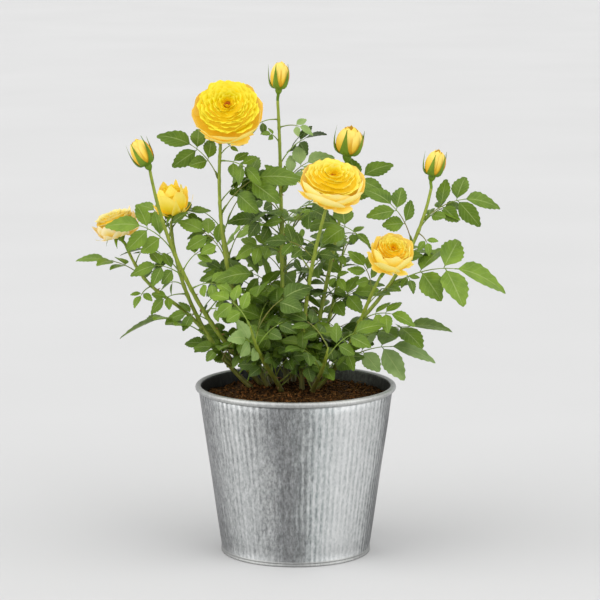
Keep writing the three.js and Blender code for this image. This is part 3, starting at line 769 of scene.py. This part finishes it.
def pot():
    turns = [mix(*BEAD_TURN, i / BEAD_POINTS) for i in range(BEAD_POINTS + 1)]
    bead, level = RIM_RADIUS - BEAD_RADIUS, POT_HEIGHT - BEAD_RADIUS
    roll = [(bead + BEAD_RADIUS * cos(turn), level + BEAD_RADIUS * sin(turn)) for turn in turns]
    foot = [(FOOT_RADIUS + out, up) for out, up in FOOT_PROFILE]
    lip = [(roll[0][0] + out, roll[0][1] + up) for out, up in LIP_PROFILE]
    outside = foot + between(foot[-1], roll[0], WALL_ROWS)[:-1] + lip
    inside = between(roll[-1], (FOOT_RADIUS - WALL, WALL), INSIDE_ROWS)
    made = turned("zinc_pot", outside + roll + inside, POT_SIDES)
    for finish in ZINC:
        made.data.materials.append(finish)
    for face in made.data.polygons:
        out = Vector((face.center.x, face.center.y, 0)).normalized()
        level = face.center.z / MM
        is_edge = level > RIM_EDGE or level < FOOT_EDGE
        is_inside = face.normal.dot(out) < INWARD and level < INSIDE_TOP
        # Inside faces take the finish darkened with painted shade, the bead and the hem their own bands of
        # painted reflection
        face.material_index = 1 if is_inside else 2 if is_edge else 0
    for corner in made.data.vertices:
        far = Vector((corner.co.x, corner.co.y, 0)).length / MM
        level = corner.co.z / MM
        middle_of_sheet = mix(FOOT_RADIUS, RIM_RADIUS - BEAD_RADIUS, level / POT_HEIGHT) - WALL / 2
        if far > middle_of_sheet and RIB_FOOT < level < RIB_TOP:
            turn = atan2(corner.co.y, corner.co.x)
            wide, tall = RIB_PATCH
            uneven = noise.noise(Vector((cos(turn) * wide, sin(turn) * wide, level * tall)))
            swell = 1 + RIB_DEPTH * (0.5 + 1.5 * uneven) * cos(RIBS * turn) / far
            corner.co.x *= swell
            corner.co.y *= swell
    settle(made, "zinc", "pot")


# Soil
def on_soil(far, turn, lift=0.0, middle=(0, 0)):
    """A place on the soil's crumbled face, or a little above it."""
    x, y = middle[0] + far * cos(turn), middle[1] + far * sin(turn)
    down = clamp((Vector((x, y)).length - MOUND_TOP) / (MOUND_FOOT - MOUND_TOP))
    level = mix(SOIL_TOP, SOIL_EDGE, down) - SOIL_SINK
    for scale, rough, spread, layers, height in CRUMBS:
        level += noise.fractal(Vector((x, y, 0)) * scale, rough, spread, layers) * height
    return Vector((x, y, level + lift))


def soil():
    pile = Pile()
    wall = mix(FOOT_RADIUS - WALL, RIM_RADIUS - 2 * BEAD_RADIUS, SOIL_EDGE / (POT_HEIGHT - BEAD_RADIUS))
    wall -= SOIL_GAP
    foot = FOOT_RADIUS - WALL - SOIL_GAP
    turns = [tau * j / SOIL_SIDES for j in range(SOIL_SIDES)]
    rows = [[on_soil(wall * ((i + 0.35) / (SOIL_RINGS - 0.65)), turn) for turn in turns]
            for i in range(SOIL_RINGS)]
    rows.append([Vector((foot * cos(turn), foot * sin(turn), SOIL_FLOOR)) for turn in turns])
    pile.body(rows, on_soil(0, 0), Vector((0, 0, SOIL_FLOOR)))
    draw = seeded(FINE_SEED)
    for _ in range(LUMPS):
        far, turn = wall * 0.985 * draw() ** 0.5, tau * draw()
        size = LUMP_SIZE + 2.0 * draw() ** 3
        lump(pile, on_soil(far, turn, size * 0.2), size, draw)
    feet = [cane["curve"][0] for cane in FLOWERING_CANES if "parent" not in cane]
    for middle in feet + [shoot["foot"] for shoot in LEAFY_SHOOTS]:
        for _ in range(FOOT_LUMPS):
            far, turn = mix(2.5, FOOT_HEAP, draw()), tau * draw()
            size = LUMP_SIZE + 1.1 * draw()
            lump(pile, on_soil(far, turn, size * mix(1.1, 0.2, far / FOOT_HEAP), middle), size, draw)
    for _ in range(FIBRES):
        far, turn, heading = (wall - 8) * draw() ** 0.5, tau * draw(), 360 * draw()
        length = mix(*FIBRE_LENGTH, draw())
        along = direction(heading, FIBRE_RISE * draw())
        bend = direction(heading + 90, 30) * (draw() - 0.5) * length * 0.5
        start = on_soil(far, turn, 0.3)
        points = [start + along * length * s + bend * s * (1 - s) for s in (0, 0.33, 0.66, 1)]
        if max(Vector((point.x, point.y)).length for point in points) < wall:
            tube(pile, points, FIBRE_RADII, 4, 2, UP)
    pile.piece("compost", SOIL, "compost", "soil")


def lump(pile, middle, size, draw):
    """A small crumb of eight faces, dark or brown."""
    finish = int(draw() * LUMP_DEAL)
    corners = [Vector(c) for c in ((1, 0, 0), (0, 1, 0), (-1, 0, 0), (0, -1, 0), (0, 0, 1), (0, 0, -1))]
    first = len(pile.corners)
    pile.corners.extend(middle + corner * size * (0.6 + 0.7 * draw()) for corner in corners)
    for a, b in ((0, 1), (1, 2), (2, 3), (3, 0)):
        for c, order in ((4, (a, b)), (5, (b, a))):
            pile.face((first + order[0], first + order[1], first + c), finish)


# Canes
def cane_radius(cane, share):
    if "parent" in cane:
        return mix(BRANCH_RADIUS, CANE_TIP_RADIUS, share)
    flare = ROOT_FLARE * max(0, 1 - share / ROOT_FLARE_SHARE) ** 2
    return mix(CANE_FOOT_RADIUS, CANE_TIP_RADIUS, share) + flare


def shoot_curve(foot, tip):
    def steer(out, up):
        return (mix(foot[0], tip[0], out), mix(foot[1], tip[1], out), mix(SOIL_TOP, tip[2], up))

    return Cubic([(*foot, SOIL_TOP), steer(**SHOOT_LOW), steer(**SHOOT_HIGH), tip])


def cane_tube(pile, cane, swellings):
    """A cane with ridged bark, swollen where a leaf leaves it. One that grows from the soil starts a
    little below it, and one without a flower has a thin tip."""
    curve = cane["path"]
    length = curve.length()
    start = 0 if "parent" in cane else CANE_ROOT
    steps = ceil((1 - start) * length / CANE_STEP)
    shares = [mix(start, 1, i / steps) for i in range(steps + 1)]
    points = [curve.point(share) for share in shares]

    def relief(i, angle):
        place = Vector((cos(angle), sin(angle), 0)) * 1.4 + points[i] * 0.16
        return 1 + BARK_RELIEF * (noise.noise(place) * 1.5 + 0.4 * cos(3 * angle + shares[i] * 9))

    radii = []
    for share in shares:
        near = min(abs(share - node) * length for node in swellings)
        swell = 1 + NODE_SWELLING * max(0, 1 - near / NODE_REACH)
        at_tip = 0 if "flower" in cane else clamp((share - (1 - THIN_SHARE)) / THIN_SHARE)
        radii.append(cane_radius(cane, max(0, share)) * swell * mix(1, THIN_TIP, at_tip))
    tube(pile, points, radii, CANE_SIDES, 0, BARK_SIDE, relief)


def thorn(pile, root, out, along, length):
    """A short curved thorn that points a little down the cane."""
    side = out.cross(along).normalized()
    rows = []
    for share, wide in THORN_OUTLINE:
        middle = root + out * length * share - along * length * THORN_DROOP * share ** 2
        rows.append([middle + (side * cos(a) * 0.45 + along * sin(a)) * length * wide
                     for a in (0, tau / 4, tau / 2, tau * 3 / 4)])
    out_to, down_to = THORN_TIP
    pile.body(rows, root, root + out * length * out_to - along * length * down_to, 1)


def thorns(pile, cane, draw):
    curve = cane["path"]
    for i in range(int(curve.length() * THORN_SHARE / THORN_EVERY)):
        share = THORN_FIRST + THORN_STRETCH * (i + draw()) * THORN_EVERY / curve.length()
        along = curve.tangent(share)
        out = direction(360 * draw(), 0)
        out = (out - along * out.dot(along)).normalized()
        root = curve.point(share) + out * cane_radius(cane, share) * 0.8
        thorn(pile, root, out, along, THORN_LENGTH * (0.6 + 0.5 * draw()))


# Leaves
def leaf_row(node, heading, rise, length, face_front, draw, **more):
    """A compound leaf that grows from a node. Its face leans a little to a side drawn for it."""
    return dict(node=node, heading=heading, rise=rise, length=length, face_front=face_front,
                lean=360 * draw(), **more)


def cane_rows(cane, draw):
    """The compound leaves of a cane: those that the front shows and those behind, or those of a shoot."""
    rows = []

    def add(share, heading, rise, length, face_front, **more):
        node = cane["path"].point(share)
        rows.append(leaf_row(node, heading, rise, length, face_front, draw, share=share, **more))

    def uneven(length):
        return length * (1 + LEAF_SPREAD * (draw() - 0.5))

    if "flower" in cane:
        for share, heading, rise, length, *face in cane["leaves"]:
            add(share, heading, rise, length, face[0] if face else FACE_FRONT, shown=True)
        for i in range(cane["behind"]):
            share = mix(cane["leafy"], BACK_LAST, (i + BACK_FIRST) / cane["behind"])
            heading = BACK_HEADING + BACK_SPREAD * (2 * ((i * GOLDEN_SHARE + draw()) % 1) - 1)
            add(share, heading, BACK_RISE, uneven(BACK_LENGTH), 0)
    else:
        start = 360 * draw()
        for i in range(cane["leaves"]):
            share = mix(SHOOT_FIRST_LEAF, SHOOT_LAST_LEAF, i / (cane["leaves"] - 1))
            add(share, start + i * GOLDEN_ANGLE, SHOOT_RISE, uneven(SHOOT_LEAF_LENGTH), SHOOT_FACE_FRONT)
    return rows


def leaf_place(row):
    """Where a compound leaf laid flat on X and Y comes to lie: arched, drooping and turned."""
    out = direction(row["heading"], row["rise"])
    node, length = row["node"], row["length"]
    away = Vector((node.x, node.y, 0))
    face = UP * FACE_UP + FRONT * row["face_front"] + direction(row["lean"], 0) * LEAF_LEAN
    face += away.normalized() * FACE_OUT
    across = face.cross(out).normalized()
    normal = out.cross(across)
    lift = (UP - out * out.z).normalized()

    def place(x, y, z=0.0):
        share = x / length
        arch = 4 * LEAF_ARCH * length * share * (1 - share)
        return node + out * x + across * y + lift * arch + normal * (z - LEAF_DROOP * y * y / length)

    return place


def leaflet_shape(size, wide, fold, curl):
    """A finely toothed leaflet laid flat: rows of along, across and height from its root to its tip."""
    rows = []
    for i in range(LEAFLET_STATIONS + 1):
        share = i / LEAFLET_STATIONS
        blade = (share - LEAFLET_NECK) / (1 - LEAFLET_NECK)
        inside = 0 < blade < 1
        zigzag = 1 if i % 2 else -1
        tooth = TOOTH * size * zigzag * inside
        half = wide * size * sin(pi * blade ** 0.82) ** 0.8 * (1 - 0.12 * blade) if inside else 0.014 * size
        row = []
        for step in ACROSS_STEPS:
            edge = abs(step) == 1
            along = share * size + (tooth * 0.8 if edge else 0) + abs(step) * 0.02 * size * inside
            out = step * (half + (tooth if edge else 0))
            height = fold * abs(out) - curl * size * share ** 2 - (0.3 * fold * half if edge else 0)
            height += 0.012 * size * zigzag * (abs(step) == 0.5)
            row.append((along, out, height))
        rows.append(row)
    return rows


def near_flower(point, blooms):
    """Whether a place lies in a flower, or in front of one."""
    for bloom in blooms:
        gap = point - bloom.centre
        if gap.length < bloom.radius + FLOWER_ROOM:
            return True
        if gap.y < 0 and Vector((gap.x, gap.z + gap.y * SIGHT_SLOPE)).length < bloom.radius * 0.95:
            return True
    return False


def in_opening(point):
    """Whether the sky shows at a place, seen from the front."""
    height = point.z + (point.y - MIDDLE_DEPTH) * SIGHT_SLOPE
    return any((point.x - x) ** 2 + (height - z) ** 2 < radius ** 2 for x, z, radius in OPENINGS)


def leaflet(pile, place, root, angle, size, wide, draw, finish):
    """One leaflet on a compound leaf. Root is its place on the rachis, and angle its turn from it."""
    fold = 0.1 + 0.3 * draw()
    curl = 0.02 + 0.16 * draw()
    roll = radians(LEAFLET_ROLL) * (draw() - 0.5)
    pitch = radians(LEAFLET_PITCH) * (draw() - 0.5)
    turn = Matrix.Rotation(angle, 3, "Z") @ Matrix.Rotation(pitch, 3, "Y") @ Matrix.Rotation(roll, 3, "X")
    rows = []
    for row in leaflet_shape(size, wide, fold, curl):
        turned_row = [turn @ Vector(corner) for corner in row]
        rows.append([place(root[0] + c.x, root[1] + c.y, c.z) for c in turned_row])
    pile.sheet(rows, finish)


def compound_leaf(leaves, twigs, row, draw, finish, pairs, wide):
    """A rachis with its leaflets and its two stipules. A leaf that the front shows has all its leaflets,
    and another has none where the sky shows."""
    place = leaf_place(row)
    length = row["length"]
    reach = RACHIS * length
    wanted = [((reach, 0), radians(END_SWAY * (draw() - 0.5)), (1 - RACHIS) * length, wide * 0.94)]
    for pair in range(pairs):
        for way in (1, -1):
            size = SIDE_LEAFLET * length * INNER_LEAFLET ** pair * (0.94 + 0.16 * draw())
            along = (FIRST_PAIR - PAIR_STEP * pair) * length + (PAIR_STAGGER * length if way < 0 else 0)
            angle = way * radians(LEAFLET_ANGLE + LEAFLET_SWAY * (draw() - 0.5))
            wanted.append(((along, way * 0.4), angle, size, wide))

    def is_wanted(root, angle, size, _):
        x, y = root[0] + size * 0.6 * cos(angle), root[1] + size * 0.6 * sin(angle)
        return row.get("shown") or not in_opening(place(x, y))

    wanted = [each for each in wanted if is_wanted(*each)]
    if not wanted:
        return
    steps = range(RACHIS_STEPS + 1)
    tube(twigs, [place(reach * i / RACHIS_STEPS, 0) for i in steps],
         [RACHIS_RADIUS * mix(1.15, 0.6, i / RACHIS_STEPS) for i in steps], TWIG_SIDES)
    for each in wanted:
        leaflet(leaves, place, *each, draw, finish)
    for way in (1, -1):
        rows = []
        for share, out in STIPULE_OUTLINE:
            x = share * length * STIPULE_LENGTH
            rows.append([place(x, 0, 0.3), place(x, way * out * length * STIPULE_WIDTH, 0.6)])
        leaves.sheet(rows, finish)


def in_crown(point):
    """Whether a place lies in the thick middle of the crown, above the soil and the pot's rim."""
    parts = [(point[i] - CROWN_MIDDLE[i]) / CROWN_REACH[i] for i in range(3)]
    outside = Vector((point.x, point.y)).length >= CROWN_INSIDE
    return point.z > CROWN_LOWEST[outside] and sum(part * part for part in parts) < 1


def side_twig(leaves, twigs, root, rise, reach, leaf_length, draw, blooms):
    """A short twig with small leaves, each kept only where it stays in the crown."""
    heading = 360 * draw()
    out = direction(heading, rise)
    points = [root + out * reach * s + UP * reach * TWIG_LIFT * s * s for s in (0, 0.25, 0.5, 0.75, 1)]
    finish = int(TWIG_DEAL * draw())
    kept = []
    for k in range(TWIG_LEAVES):
        turn = 70 * (1 if draw() < 0.5 else -1) if k < TWIG_LEAVES - 1 else 20 * (draw() - 0.5)
        knot = len(points) - TWIG_LEAVES + k
        row = leaf_row(points[knot], heading + turn, rise * 0.4 + 35 * draw() - 10,
                       leaf_length * (0.75 + 0.35 * draw()), TWIG_FACE_FRONT, draw, knot=knot)
        place = leaf_place(row)
        tips = [place(row["length"] * x, row["length"] * y) for x, y in LEAF_SAMPLES]
        if all(in_crown(tip) and not in_opening(tip) and not near_flower(tip, blooms)
               for tip in (row["node"], *tips)):
            kept.append(row)
    if kept:
        last = kept[-1]["knot"] + 1
        tube(twigs, points[:last], TWIG_RADII[:last], TWIG_SIDES)
        for row in kept:
            compound_leaf(leaves, twigs, row, draw, finish, 1, ROUND_LEAFLET)


def fine_growth(cane, leaves, twigs, draw, blooms):
    """Side twigs all along a cane, kept inside the thick middle of the crown, and small ones at its foot."""
    curve = cane["path"]
    first = BRANCH_TWIG_FIRST if "parent" in cane else TWIG_FIRST
    count = int(curve.length() * (TWIG_LAST - first) / TWIG_EVERY)
    for i in range(count):
        root = curve.point(mix(first, TWIG_LAST, (i + draw()) / count))
        reach = TWIG_LENGTH * (0.6 + 0.7 * draw()) * mix(0.55, 1.0, clamp((root.z - SOIL_TOP) / 60))
        side_twig(leaves, twigs, root, mix(*TWIG_RISE, draw()), reach, TWIG_LEAF_LENGTH, draw, blooms)
    if "parent" not in cane:
        for i in range(LOW_TWIGS):
            root = curve.point(mix(*LOW_SHARES, (i + draw()) / LOW_TWIGS))
            rise, reach = mix(*LOW_RISE, draw()), mix(*LOW_LENGTH, draw())
            side_twig(leaves, twigs, root, rise, reach, LOW_LEAF_LENGTH, draw, blooms)


# Flowers
class Bloom:
    """Where a flower's petals are set: its foot, its axis and the two ways across."""

    def __init__(self, kind, centre, heading, rise, radius, depth):
        self.kind, self.centre, self.radius, self.depth = kind, Vector(centre), radius, depth
        self.axis = direction(heading, rise)
        self.base = self.centre - self.axis * depth / 2
        self.side = self.axis.cross(RIGHT).normalized()
        self.other = self.side.cross(self.axis)

    def place(self, turn, far, high):
        return self.base + self.axis * high + (self.side * cos(turn) + self.other * sin(turn)) * far

    def ring(self, far, high, sides):
        return [self.place(tau * j / sides, far, high) for j in range(sides)]


def along_profile(profile, share):
    """How far out and how high a profile of four points is at a share of its way."""
    rest = 1 - share
    weights = (rest ** 3, 3 * rest ** 2 * share, 3 * rest * share ** 2, share ** 3)
    return [sum(weight * point[i] for weight, point in zip(weights, profile)) for i in (0, 1)]


def petal(pile, bloom, turn, spread, profile, draw, finish, rim, ruffle, edge, point=0.0):
    """A curved petal. The profile runs from its root to its rim in distance and height, spread is half of
    the angle it covers, rim rounds its corners, edge rolls its sides out, and point draws out its tip."""
    rows = []
    phase, waves = tau * draw(), 3.5 + 3 * draw()
    tilt = (draw() - 0.5) * 0.14 * bloom.radius
    skew = (draw() - 0.5) * 0.3
    notch = 0.05 * draw()
    for i in range(PETAL_ROWS + 1):
        row = []
        for j in range(PETAL_COLUMNS + 1):
            wide = 2 * j / PETAL_COLUMNS - 1
            dent = notch * (sin(wide * waves * 1.7 + phase) - 1)
            share = i / PETAL_ROWS * (1 - rim * abs(wide) ** 2.2 - point * abs(wide) + dent)
            far, high = along_profile(profile, share)
            full = sin(min(1, 0.2 + share * 1.5) * pi / 2) * (1 - point * share ** 2)
            wavy = ruffle * bloom.radius * sin(wide * waves + phase) * share ** 3
            roll = edge * bloom.radius * abs(wide) ** 3 * share
            row.append(bloom.place(turn + spread * wide * full + skew * share, far + wavy + roll,
                                   high + tilt * share * wide - roll * 0.5 + wavy * 0.6))
        rows.append(row)
    pile.sheet(rows, finish)


def open_flower(pile, bloom, draw, whorls, face, dome, eye, wrap, close, loose, tips, guards, reach):
    """A full flower: a solid heart and a small eye, both deepened in colour with painted shade, whorls of
    crumpled inner petals, broad outer ones that hold them and pointed ones under it."""
    radius, depth = bloom.radius, bloom.depth
    face *= radius

    def face_height(far):
        share = far / radius
        dip = eye * max(0, 1 - share / 0.32) ** 1.3
        return depth * (0.97 - dip - dome * clamp((share - 0.25) / 0.75) ** 1.7)

    rows = [bloom.ring(face * 0.35, depth * 0.06, HEART_SIDES)]
    for i in range(HEART_ROWS):
        far = face * 0.93 * (1 - i / HEART_ROWS)
        rows.append(bloom.ring(far, face_height(far) - 0.14 * depth, HEART_SIDES))
    # The heart and the eye take the finishes deepened with painted shade
    pile.sheet(rows[:-1], 2, around=True)
    pile.sheet(rows[-2:], 3, around=True)
    pile.cap(rows[0], bloom.place(0, 0, depth * 0.06), 2)
    pile.cap(rows[-1][::-1], bloom.place(0, 0, face_height(0) - 0.16 * depth), 3)
    for i in range(whorls):
        share = (i + 0.5) / whorls
        count = FIRST_WHORL + i
        for k in range(count):
            rim = face * mix(0.055, 0.99, share ** 0.86) * (0.91 + 0.16 * draw())
            high = face_height(rim) + depth * 0.07 * (draw() - 0.5)
            lean = mix(0.3, 0.46, share) * (0.8 + 0.4 * draw())
            deep = depth * mix(0.16, 0.3, share)
            profile = [(rim * (1 - lean), high - deep), (rim * (1 - 0.4 * lean), high - deep * 0.8),
                       (rim * 0.97, high - deep * 0.2),
                       (rim * (1.03 + 0.05 * share), high - 0.1 * deep * share)]
            turn = tau * (k + 0.6 * (draw() - 0.5)) / count + i * 1.9
            spread = pi / count * (1.25 + 0.4 * draw())
            # The innermost petals take the heart's finish, deepened with painted shade
            petal(pile, bloom, turn, spread, profile, draw, 2 if share < 0.1 else 0, 0.12 + 0.14 * draw(),
                  mix(0.045, 0.03, share), 0.04 * draw())
    for i in range(WRAP_PETALS):
        share, slack = i / (WRAP_PETALS - 1), loose * draw()
        out = radius * (mix(close, 1.0, share) + 0.26 * slack)
        high = depth * wrap * mix(1.1, 0.8, share) * (0.94 + 0.12 * draw()) * (1 - 0.22 * slack)
        belly = radius * mix(0.5 + 0.5 * close, 1.04, share) * (1 - 0.16 * slack)
        profile = [(radius * 0.14, depth * 0.02), (belly * 1.02, -depth * 0.02), (belly * 1.06, high * 0.72),
                   (out, high)]
        turn = radians(i * GOLDEN_ANGLE + WRAP_START)
        spread = radians(mix(*WRAP_SPREAD, share) * (1 - 0.3 * slack))
        petal(pile, bloom, turn, spread, profile, draw, 1, 0.2 + 0.14 * draw(), 0.04 + 0.03 * slack, 0.05,
              0.14 * slack + tips * (0.6 + 0.4 * draw()))
    for i in range(guards):
        out = radius * (0.96 + reach * draw())
        high = depth * wrap * (0.12 + 0.55 * draw())
        profile = [(radius * 0.14, 0), (radius * 0.8, -depth * 0.1), (out * 0.92, high * 0.45), (out, high)]
        turn, spread = tau * (i + 0.6 * draw()) / guards, radians(16 + 10 * draw())
        petal(pile, bloom, turn, spread, profile, draw, 1, 0.1, 0.04, 0.06, 0.25 + 0.25 * draw())


def bud(pile, bloom, draw):
    """A pointed bud of petals wound about each other."""
    radius, depth = bloom.radius, bloom.depth
    for i in range(BUD_PETALS):
        share = (i + 0.5) / BUD_PETALS
        belly = radius * mix(0.95, 1.3, share)
        crown = depth * mix(1.0, 0.88, share) * (0.97 + 0.05 * draw())
        profile = [(radius * 0.4, 0), (belly * 1.0, depth * 0.06), (belly * 1.12, crown * 0.7),
                   (radius * mix(0.1, 0.62, share), crown)]
        finish = int(share > 0.45)
        petal(pile, bloom, radians(i * GOLDEN_ANGLE), radians(BUD_SPREAD), profile, draw, finish,
              0.2, 0.02, 0.05)


def sepal(pile, bloom, turn, profile, half_width, fullest, draw):
    """A narrow pointed sepal, folded along its midrib. A low fullest puts its widest place near its root."""
    rows = []
    sway = (draw() - 0.5) * 0.35
    for i in range(SEPAL_ROWS + 1):
        share = i / SEPAL_ROWS
        far, high = along_profile(profile, share)
        wide = half_width * (sin(pi * (0.12 + 0.86 * share) ** fullest) ** 1.1 if share < 1 else 0.05)
        row = []
        for step in ACROSS_STEPS:
            angle = turn + sway * share + step * wide / max(far, 1.5)
            row.append(bloom.place(angle, far + 0.35 * wide * (1 - abs(step)), high))
        rows.append(row)
    pile.sheet(rows)


def green_parts(pile, bloom, curve, draw):
    """The stalk, the hip and the sepals."""
    hip = min(HIP_RADIUS, SMALL_HIP * bloom.radius)
    start, foot = curve.point(1), bloom.base - bloom.axis * hip * 1.3
    bend = (foot - start).length / 2.4
    stalk = Cubic([start, start + curve.tangent(1) * bend, foot - bloom.axis * bend, foot])
    shares = [i / STALK_STEPS for i in range(STALK_STEPS + 1)]
    radii = [CANE_TIP_RADIUS * mix(1.0, 1.15, share) for share in shares]
    tube(pile, [stalk.point(share) for share in shares], radii, STALK_SIDES)
    rows = []
    for i in range(HIP_ROWS + 1):
        share = i / HIP_ROWS
        far = hip * (0.34 + 0.72 * sin(pi * share ** 0.9 * 0.78)) if share < 1 else hip * 0.5
        rows.append(bloom.ring(far, mix(HIP_LOW, HIP_HIGH, share) * hip, HIP_SIDES))
    pile.body(rows, bloom.place(0, 0, HIP_LOW * hip), bloom.place(0, 0, HIP_HIGH * hip))
    radius, depth = bloom.radius, bloom.depth
    for i in range(SEPALS):
        turn = tau * (i + 0.8) / SEPALS
        if bloom.kind == "bud":
            loose = 0.2 + 0.5 * draw()
            profile = [(hip * 0.6, -0.1 * hip), (radius * 1.4, -depth * 0.02), (radius * 1.28, depth * 0.56),
                       (radius * (0.8 + loose), depth * (0.8 + 0.2 * draw()))]
            sepal(pile, bloom, turn, profile, radius * 0.62, 0.31, draw)
        else:
            low = -SEPAL_LENGTH * (0.25 + 0.35 * draw())
            profile = [(hip * 0.6, 0.1 * hip), (SEPAL_LENGTH * 0.45, 1.5), (SEPAL_LENGTH * 0.8, low * 0.2),
                       (SEPAL_LENGTH * 0.95, low)]
            sepal(pile, bloom, turn, profile, 2.6, 0.7, draw)


def flower(name, bloom, curve, draw):
    petals, green = Pile(), Pile()
    if bloom.kind == "bud":
        bud(petals, bloom, draw)
        petals.piece("petals_" + name, PETALS["bud"], "petal", "bud_" + name)
    else:
        open_flower(petals, bloom, draw, *OPEN_FLOWERS[name])
        petals.piece("petals_" + name, PETALS[name], "petal", "bloom_" + name)
    green_parts(green, bloom, curve, draw)
    green.piece("sepals_" + name, SEPAL, "leaf")


def plant():
    canes = [dict(cane, path=Cubic(cane["curve"]), bloom=Bloom(*cane["flower"])) for cane in FLOWERING_CANES]
    blooms = [cane["bloom"] for cane in canes]
    canes += [dict(shoot, path=shoot_curve(shoot["foot"], shoot["tip"])) for shoot in LEAFY_SHOOTS]
    bark, twigs = Pile(), Pile()
    for i, cane in enumerate(canes):
        fine = seeded(FINE_SEED + 7 * i)
        rows = cane_rows(cane, seeded(FIRST_SEED + i))
        cane_tube(bark, cane, [row["share"] for row in rows])
        thorns(bark, cane, fine)
        leaves = Pile()
        for row in rows:
            pairs = 1 if row["length"] < THREE_LEAFLETS_BELOW else 2
            finish = LEAF_DEAL[int(fine() * len(LEAF_DEAL))]
            compound_leaf(leaves, twigs, row, fine, finish, pairs, LEAFLET_HALF_WIDTH)
        fine_growth(cane, leaves, twigs, fine, blooms)
        leaves.piece("foliage_" + cane["name"], LEAVES, "leaf", "leaves_" + cane["name"])
        if "bloom" in cane:
            flower(cane["name"], cane["bloom"], cane["path"], fine)
    bark.piece("canes", BARK, "cane", *["cane_" + cane["name"] for cane in canes])
    twigs.piece("twigs", TWIG, "cane")


# Floor, light and camera
def soft_light(name, heading, rise, strength):
    """A broad soft light that falls on the plant from a compass heading."""
    way = direction(heading, rise)
    bpy.ops.object.light_add(type="SUN", location=way * 2)
    lamp = bpy.context.object
    lamp.name = name
    lamp.data.angle = radians(LIGHT_BREADTH)
    lamp.data.energy = strength
    lamp.rotation_euler = way.to_track_quat("Z", "Y").to_euler()


def studio():
    bpy.ops.object.select_all(action="DESELECT")
    bpy.ops.mesh.primitive_plane_add(size=FLOOR_SIZE)
    floor = bpy.context.object
    floor.name = "floor"
    floor.data.materials.append(blotched_finish("paper", 0.95, 2, (0.3, "#c6c6c6"), (0.7, "#c9c9c9"), 0.1))
    world = bpy.data.worlds.new("studio")
    world.use_nodes = True
    sky = world.node_tree.nodes["Background"]
    sky.inputs["Color"].default_value = (1, 1, 1, 1)
    sky.inputs["Strength"].default_value = SKY_STRENGTH
    bpy.context.scene.world = world
    for light in LIGHTS:
        soft_light(*light)
    bpy.ops.object.camera_add(location=Vector(CAMERA_PLACE) * MM, rotation=(radians(90 - CAMERA_DOWN), 0, 0))
    camera = bpy.context.object
    camera.data.lens = CAMERA_LENS
    camera.data.sensor_width = CAMERA_SENSOR
    camera.data.clip_end = CAMERA_FAR
    bpy.context.scene.camera = camera
    bpy.context.scene.view_settings.view_transform = "Standard"


pot()
soil()
plant()
studio()

bpy.context.view_layer.update()
